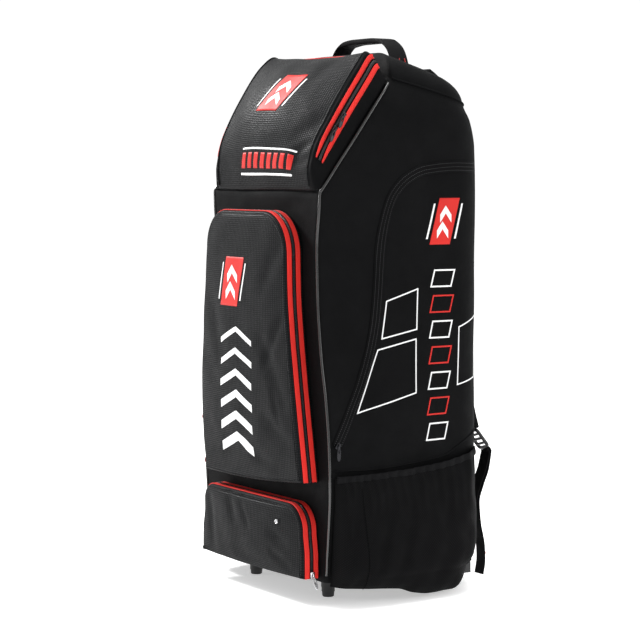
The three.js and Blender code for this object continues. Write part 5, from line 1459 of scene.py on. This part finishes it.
def build_housing(name, sign, centre):
    """A wheel housing: a channel section carried straight up one side, half round the axle over the wheel
    and straight down the other, with ribs on its outer cheek."""
    x, r = (np.array(HOUSING_SECTION) * MM).T
    a = np.linspace(0, np.pi, 48)[:, None]
    arch = np.stack([centre[0] + x + 0 * a, centre[1] - r * np.cos(a), centre[2] + r * np.sin(a)], -1)

    def skirt(side):
        """The straight rings below the axle, before it for side -1 and behind it for side 1."""
        z = np.linspace(HOUSING_LOW, centre[2], 5)[:-1, None]
        return np.stack([centre[0] + x + 0 * z, centre[1] + side * r + 0 * z, z + 0 * x], -1)

    parts = [capped(np.concatenate([skirt(-1), arch, skirt(1)[::-1]]))]
    for k in range(7):
        turn = np.pi * (0.08 + 0.14 * k)
        direction = np.array([0, -np.cos(turn), np.sin(turn)])
        spots = centre + [sign * 18.9 * MM, 0, 0] + direction * np.linspace(14, 38, 8)[:, None] * MM
        parts.append(sweep(spots, [1, 0, 0], round_outline(1.6 * MM, 2.6 * MM, 0.7 * MM)))
    lay_parts(f"housing_{name}", parts, FINISHES["plastic"], slot="plastic",
              replaces=(f"wheel_housing_{name}",), sharp=40)


def build_foot(name):
    """A tapered foot: a profile of (radius, height) points with a ribbed skirt, turned round its
    upright."""
    high, centre = box_of(f"foot_{name}")[1:]
    top = high[2] / MM
    r, z = (np.array(((0.01, 0), (8.8, 0), (10, 1.1), (10.7, 8), (11.4, 9), (11.3, 16), (12.1, 17),
                      (12.0, 25), (13.5, 30), (13.5, top), (0.01, top))) * MM).T
    a = np.linspace(0, 2 * np.pi, 48)[:, None]
    grid = np.stack([centre[0] + r * np.cos(a), centre[1] + r * np.sin(a), z + 0 * a], -1)
    lay_grid(f"foot_stud_{name}", grid, FINISHES["plastic"], slot="plastic", replaces=(f"foot_{name}",),
             sharp=40)


# The sliders and the snap.
def slider_parts(place_at, run, side, hang, outward, length=24.0, wide=7.0):
    """A zip slider: a body with a wider nose, a half-round bridge over it, and a pull that hangs its own
    way, an oval loop with a solid plate in its far end."""
    run, side, hang, outward = (unit(np.array(v, float)) for v in (run, side, hang, outward))

    def block(size, at, x, y, z, power=6.0):
        """A rounded block turned to three directions."""
        return round_block(np.array(size) * MM, power) @ np.stack([x, y, z]) + at

    across = unit(np.cross(hang, outward))
    up = unit(np.cross(across, hang))
    up *= np.sign(up @ outward)
    body = block((10.4, 7.6, 1.5), place_at + outward * 1.6 * MM, run, side, outward)
    nose = block((4.6, 8.6, 1.7), place_at + outward * 1.7 * MM + run * 3.4 * MM, run, side, outward, 3.5)
    half = np.linspace(0, np.pi, 14)[:, None]
    bridge = place_at + (run * np.cos(half) * 4.0 + outward * (2.2 + np.sin(half) * 2.6)) * MM
    arch = sweep(bridge, side, round_outline(2.6 * MM, 1.1 * MM, 0.5 * MM))
    a = np.linspace(0, 2 * np.pi, 40)[:, None]
    start = place_at + outward * 3.4 * MM
    oval = hang * (length / 2 + 1 + np.cos(a) * (length / 2 - 1.4))
    oval = oval + across * np.sin(a) * (wide / 2 - 1.2) * (1 + 0.1 * np.cos(a))
    loop = sweep(start + oval * MM, up, round_outline(1.6 * MM, 2.2 * MM, 0.7 * MM))
    plate = block((length * 0.46, wide * 0.8, 1.2), start + hang * length * 0.72 * MM, hang, across, up)
    return [body, nose, arch, loop, plate]


def build_metal():
    """The zip sliders with their pulls, each set on its own solid's box, and the snap in the lower
    pocket."""
    def lay(name, parts, node, tone):
        """Lays one fitting in its metal."""
        lay_parts(name, parts, FINISHES[tone], slot="metal", replaces=(node,), sharp=50)

    x, s, h = lid_section(np.array(5.0), np.array(sum(LID_SHARES["lid_zip"]) / 2), 1)
    for k, share in enumerate((0.44, 0.56)):
        at = on_slope(x + (BAND_LIFT + GAP + COIL_THICK), np.array(share * SLOPE_LENGTH), h)
        lay(f"lid_pull_{k + 1}", slider_parts(at, SLOPE_RUN, SLOPE_UP, (0.16, -0.5, -0.85), (1, 0, 0)),
            f"lid_slider_{k + 1}", "black_metal")
    for k in (1, 2):
        high, centre = box_of(f"front_slider_{k}")[1:]
        at = np.array([high[0] - 1.2 * MM, centre[1] + 3 * MM, high[2] - 4.8 * MM])
        lay(f"front_pull_{k}", slider_parts(at, (0, 0, 1), (0, 1, 0), (-0.25, -0.3, -0.9), (-1, 0, 0)),
            f"front_slider_{k}", "bright_metal")
    low, high, centre = box_of("lower_slider")
    at = np.array([low[0], centre[1], high[2] - 4.8 * MM])
    lay("lower_pull", slider_parts(at, (0, 0, 1), (0, 1, 0), (0.45, 0, -0.8), (1, 0, 0)), "lower_slider",
        "bright_metal")
    run = unit(np.array([0, *np.subtract(FLAP_ROUTE[-1], FLAP_ROUTE[-2])], float))
    for name, sign in SIDES:
        low, high, centre = box_of(f"side_slider_{name}")
        at = np.array([low[0] if sign > 0 else high[0], centre[1], high[2] - 5 * MM])
        parts = slider_parts(at, run, np.cross(run, [sign, 0, 0]), (0, 0, -1), (sign, 0, 0))
        lay(f"side_pull_{name}", parts, f"side_slider_{name}", "black_metal")
    high, centre = box_of("pocket_rivet")[1:]
    a = np.linspace(0, 2 * np.pi, 40)[:, None]
    r = np.array([0.01, 2.1, 2.3, 2.9, 3.8, 4.2, 4.2, 0.01]) * MM
    proud = np.array([2.0, 2.2, 3.2, 3.6, 3.0, 1.8, 0.0, 0.0]) * MM
    snap = np.stack([centre[0] + r * np.cos(a), high[1] - proud + 0 * a, centre[2] + r * np.sin(a)], -1)
    lay("pocket_snap", [snap], "pocket_rivet", "bright_metal")


# The stage. Each light has a name, a place, a size in metres and a power in watts.
LIGHTS = (("key", (-3.2, -1.3, 2.9), 0.7, 170), ("front", (-2.9, -2.9, 0.9), 0.5, 20),
          ("top", (0.3, 0.2, 3.4), 1.8, 75), ("side", (3.4, 2.2, 1.7), 1.4, 34))
LIGHT_TARGET = (0, 0, 0.5)
CAMERA_SPOT = (2.9810, -1.9772, 0.7207)
CAMERA_TARGET = (0, 0.0335, 0.4538)
CAMERA_LENS = 115.36
CAMERA_SHIFT = -0.065
BRIGHT_SIDE = (-0.829, 0.554, -0.074)
FLOOR_REACH = 9.0


def make_world():
    """A pale surround, brighter on the side that lies behind the bag in the photograph: its strength rises
    smoothly with the cosine between a direction and that side's."""
    world = bpy.data.worlds.new("studio")
    world.use_nodes = True
    tree = world.node_tree
    coords = add_node(tree, "ShaderNodeTexCoord")
    near = add_node(tree, "ShaderNodeVectorMath", {0: coords.outputs["Generated"]}, operation="DOT_PRODUCT")
    near.inputs[1].default_value = BRIGHT_SIDE
    rise = add_node(tree, "ShaderNodeMapRange", {"Value": near.outputs["Value"]},
                    interpolation_type="SMOOTHSTEP")
    for key, value in (("From Min", 0.45), ("From Max", 0.9), ("To Min", 0.72), ("To Max", 1.05)):
        rise.inputs[key].default_value = value
    tree.links.new(rise.outputs[0], tree.nodes["Background"].inputs["Strength"])
    tree.nodes["Background"].inputs["Color"].default_value = (1, 1, 1, 1)
    return world


def aimed(name, data, spot, target):
    """An object at a spot whose view runs along the line to the target."""
    made = bpy.data.objects.new(name, data)
    made.location = spot
    made.rotation_mode = "QUATERNION"
    made.rotation_quaternion = (Vector(target) - Vector(spot)).to_track_quat("-Z", "Y")
    bpy.context.scene.collection.objects.link(made)
    return made


def build_stage():
    """A pale floor that glows a little, soft light and the camera at the photograph's angle."""
    scene = bpy.context.scene
    floor = bpy.data.meshes.new("floor")
    corners = [(x * FLOOR_REACH, y * FLOOR_REACH, 0) for x, y in ((-1, -1), (1, -1), (1, 1), (-1, 1))]
    floor.from_pydata(corners, [], [(0, 1, 2, 3)])
    pale = bpy.data.materials.new("floor paper")
    pale.use_nodes = True
    shader = pale.node_tree.nodes["Principled BSDF"]
    for key, value in (("Base Color", (0.93, 0.93, 0.93, 1)), ("Roughness", 0.9),
                       ("Specular IOR Level", 0.1), ("Emission Color", (1, 1, 1, 1)),
                       ("Emission Strength", 0.45)):
        shader.inputs[key].default_value = value
    floor.materials.append(pale)
    ground = bpy.data.objects.new("floor", floor)
    scene.collection.objects.link(ground)
    scene.world = make_world()
    for name, spot, size, power in LIGHTS:
        light = bpy.data.lights.new(name, "AREA")
        light.energy, light.size = power, size
        aimed(name, light, spot, LIGHT_TARGET)
    camera = bpy.data.cameras.new("camera")
    camera.sensor_width = 36
    camera.lens = CAMERA_LENS
    camera.shift_x = CAMERA_SHIFT
    camera.clip_end = 50
    scene.camera = aimed("camera", camera, CAMERA_SPOT, CAMERA_TARGET)
    scene.view_settings.view_transform = "Standard"


# The add-on.
class BAG_OT_finishes(Operator):
    """Makes the procedural materials."""

    bl_idname = "bag.finishes"
    bl_label = "Finishes"

    def execute(self, context):
        FINISHES.clear()
        FINISHES.update(make_finishes())
        return {"FINISHED"}


class BAG_OT_body(Operator):
    """Makes the body's shell and its top seams."""

    bl_idname = "bag.body"
    bl_label = "Body"

    def execute(self, context):
        build_body()
        return {"FINISHED"}


class BAG_OT_lid(Operator):
    """Makes the wedge lid with its zip and tapes."""

    bl_idname = "bag.lid"
    bl_label = "Lid"

    def execute(self, context):
        build_lid()
        return {"FINISHED"}


class BAG_OT_pockets(Operator):
    """Makes the two raised pockets with their zips and tapes."""

    bl_idname = "bag.pockets"
    bl_label = "Pockets"

    def execute(self, context):
        build_pockets()
        return {"FINISHED"}


class BAG_OT_pouches(Operator):
    """Makes the gathered side pouches."""

    bl_idname = "bag.pouches"
    bl_label = "Pouches"

    def execute(self, context):
        build_pouches()
        return {"FINISHED"}


class BAG_OT_trims(Operator):
    """Makes the welts, the storm flaps and the side seams."""

    bl_idname = "bag.trims"
    bl_label = "Trims"

    def execute(self, context):
        build_trims()
        return {"FINISHED"}


class BAG_OT_prints(Operator):
    """Lays the printed motifs on the cloth."""

    bl_idname = "bag.prints"
    bl_label = "Prints"

    def execute(self, context):
        build_prints()
        return {"FINISHED"}


class BAG_OT_handle(Operator):
    """Makes the grab handle."""

    bl_idname = "bag.handle"
    bl_label = "Handle"

    def execute(self, context):
        build_handle()
        return {"FINISHED"}


class BAG_OT_straps(Operator):
    """Makes the shoulder straps, buckles and webbing."""

    bl_idname = "bag.straps"
    bl_label = "Straps"

    def execute(self, context):
        build_straps()
        return {"FINISHED"}


class BAG_OT_wheels(Operator):
    """Makes the wheels, their housings and the feet."""

    bl_idname = "bag.wheels"
    bl_label = "Wheels"

    def execute(self, context):
        build_wheels()
        return {"FINISHED"}


class BAG_OT_metal(Operator):
    """Makes the zip sliders and the snap."""

    bl_idname = "bag.metal"
    bl_label = "Metal"

    def execute(self, context):
        build_metal()
        return {"FINISHED"}


class BAG_OT_stage(Operator):
    """Sets the floor, the lights and the camera."""

    bl_idname = "bag.stage"
    bl_label = "Stage"

    def execute(self, context):
        build_stage()
        return {"FINISHED"}


class BAG_PT_panel(Panel):
    """Lists the bag's builders and looks in the 3D view's sidebar."""

    bl_label = "Kit Bag"
    bl_idname = "BAG_PT_panel"
    bl_space_type = "VIEW_3D"
    bl_region_type = "UI"
    bl_category = "Kit Bag"

    def draw(self, context):
        """One row for each look, and a button for each builder."""
        for name in BagLooks.__annotations__:
            self.layout.prop(context.scene.bag_looks, name)
        for builder in BUILDERS:
            self.layout.operator(builder.bl_idname)


BUILDERS = [BAG_OT_finishes, BAG_OT_body, BAG_OT_lid, BAG_OT_pockets, BAG_OT_pouches,
            BAG_OT_trims, BAG_OT_prints, BAG_OT_handle, BAG_OT_straps,
            BAG_OT_wheels, BAG_OT_metal, BAG_OT_stage]
CLASSES = [BagLooks, *BUILDERS, BAG_PT_panel]


def register():
    """Registers the classes and hangs the looks on the scene."""
    for made in CLASSES:
        bpy.utils.register_class(made)
    bpy.types.Scene.bag_looks = PointerProperty(type=BagLooks)


def unregister():
    """Takes back what register() did, in the other order."""
    del bpy.types.Scene.bag_looks
    for made in reversed(CLASSES):
        bpy.utils.unregister_class(made)


def main():
    register()
    bpy.ops.bag.finishes()
    bpy.ops.bag.body()
    bpy.ops.bag.lid()
    bpy.ops.bag.pockets()
    bpy.ops.bag.pouches()
    bpy.ops.bag.trims()
    bpy.ops.bag.prints()
    bpy.ops.bag.handle()
    bpy.ops.bag.straps()
    bpy.ops.bag.wheels()
    bpy.ops.bag.metal()
    bpy.ops.bag.stage()


if __name__ == "__main__":
    main()
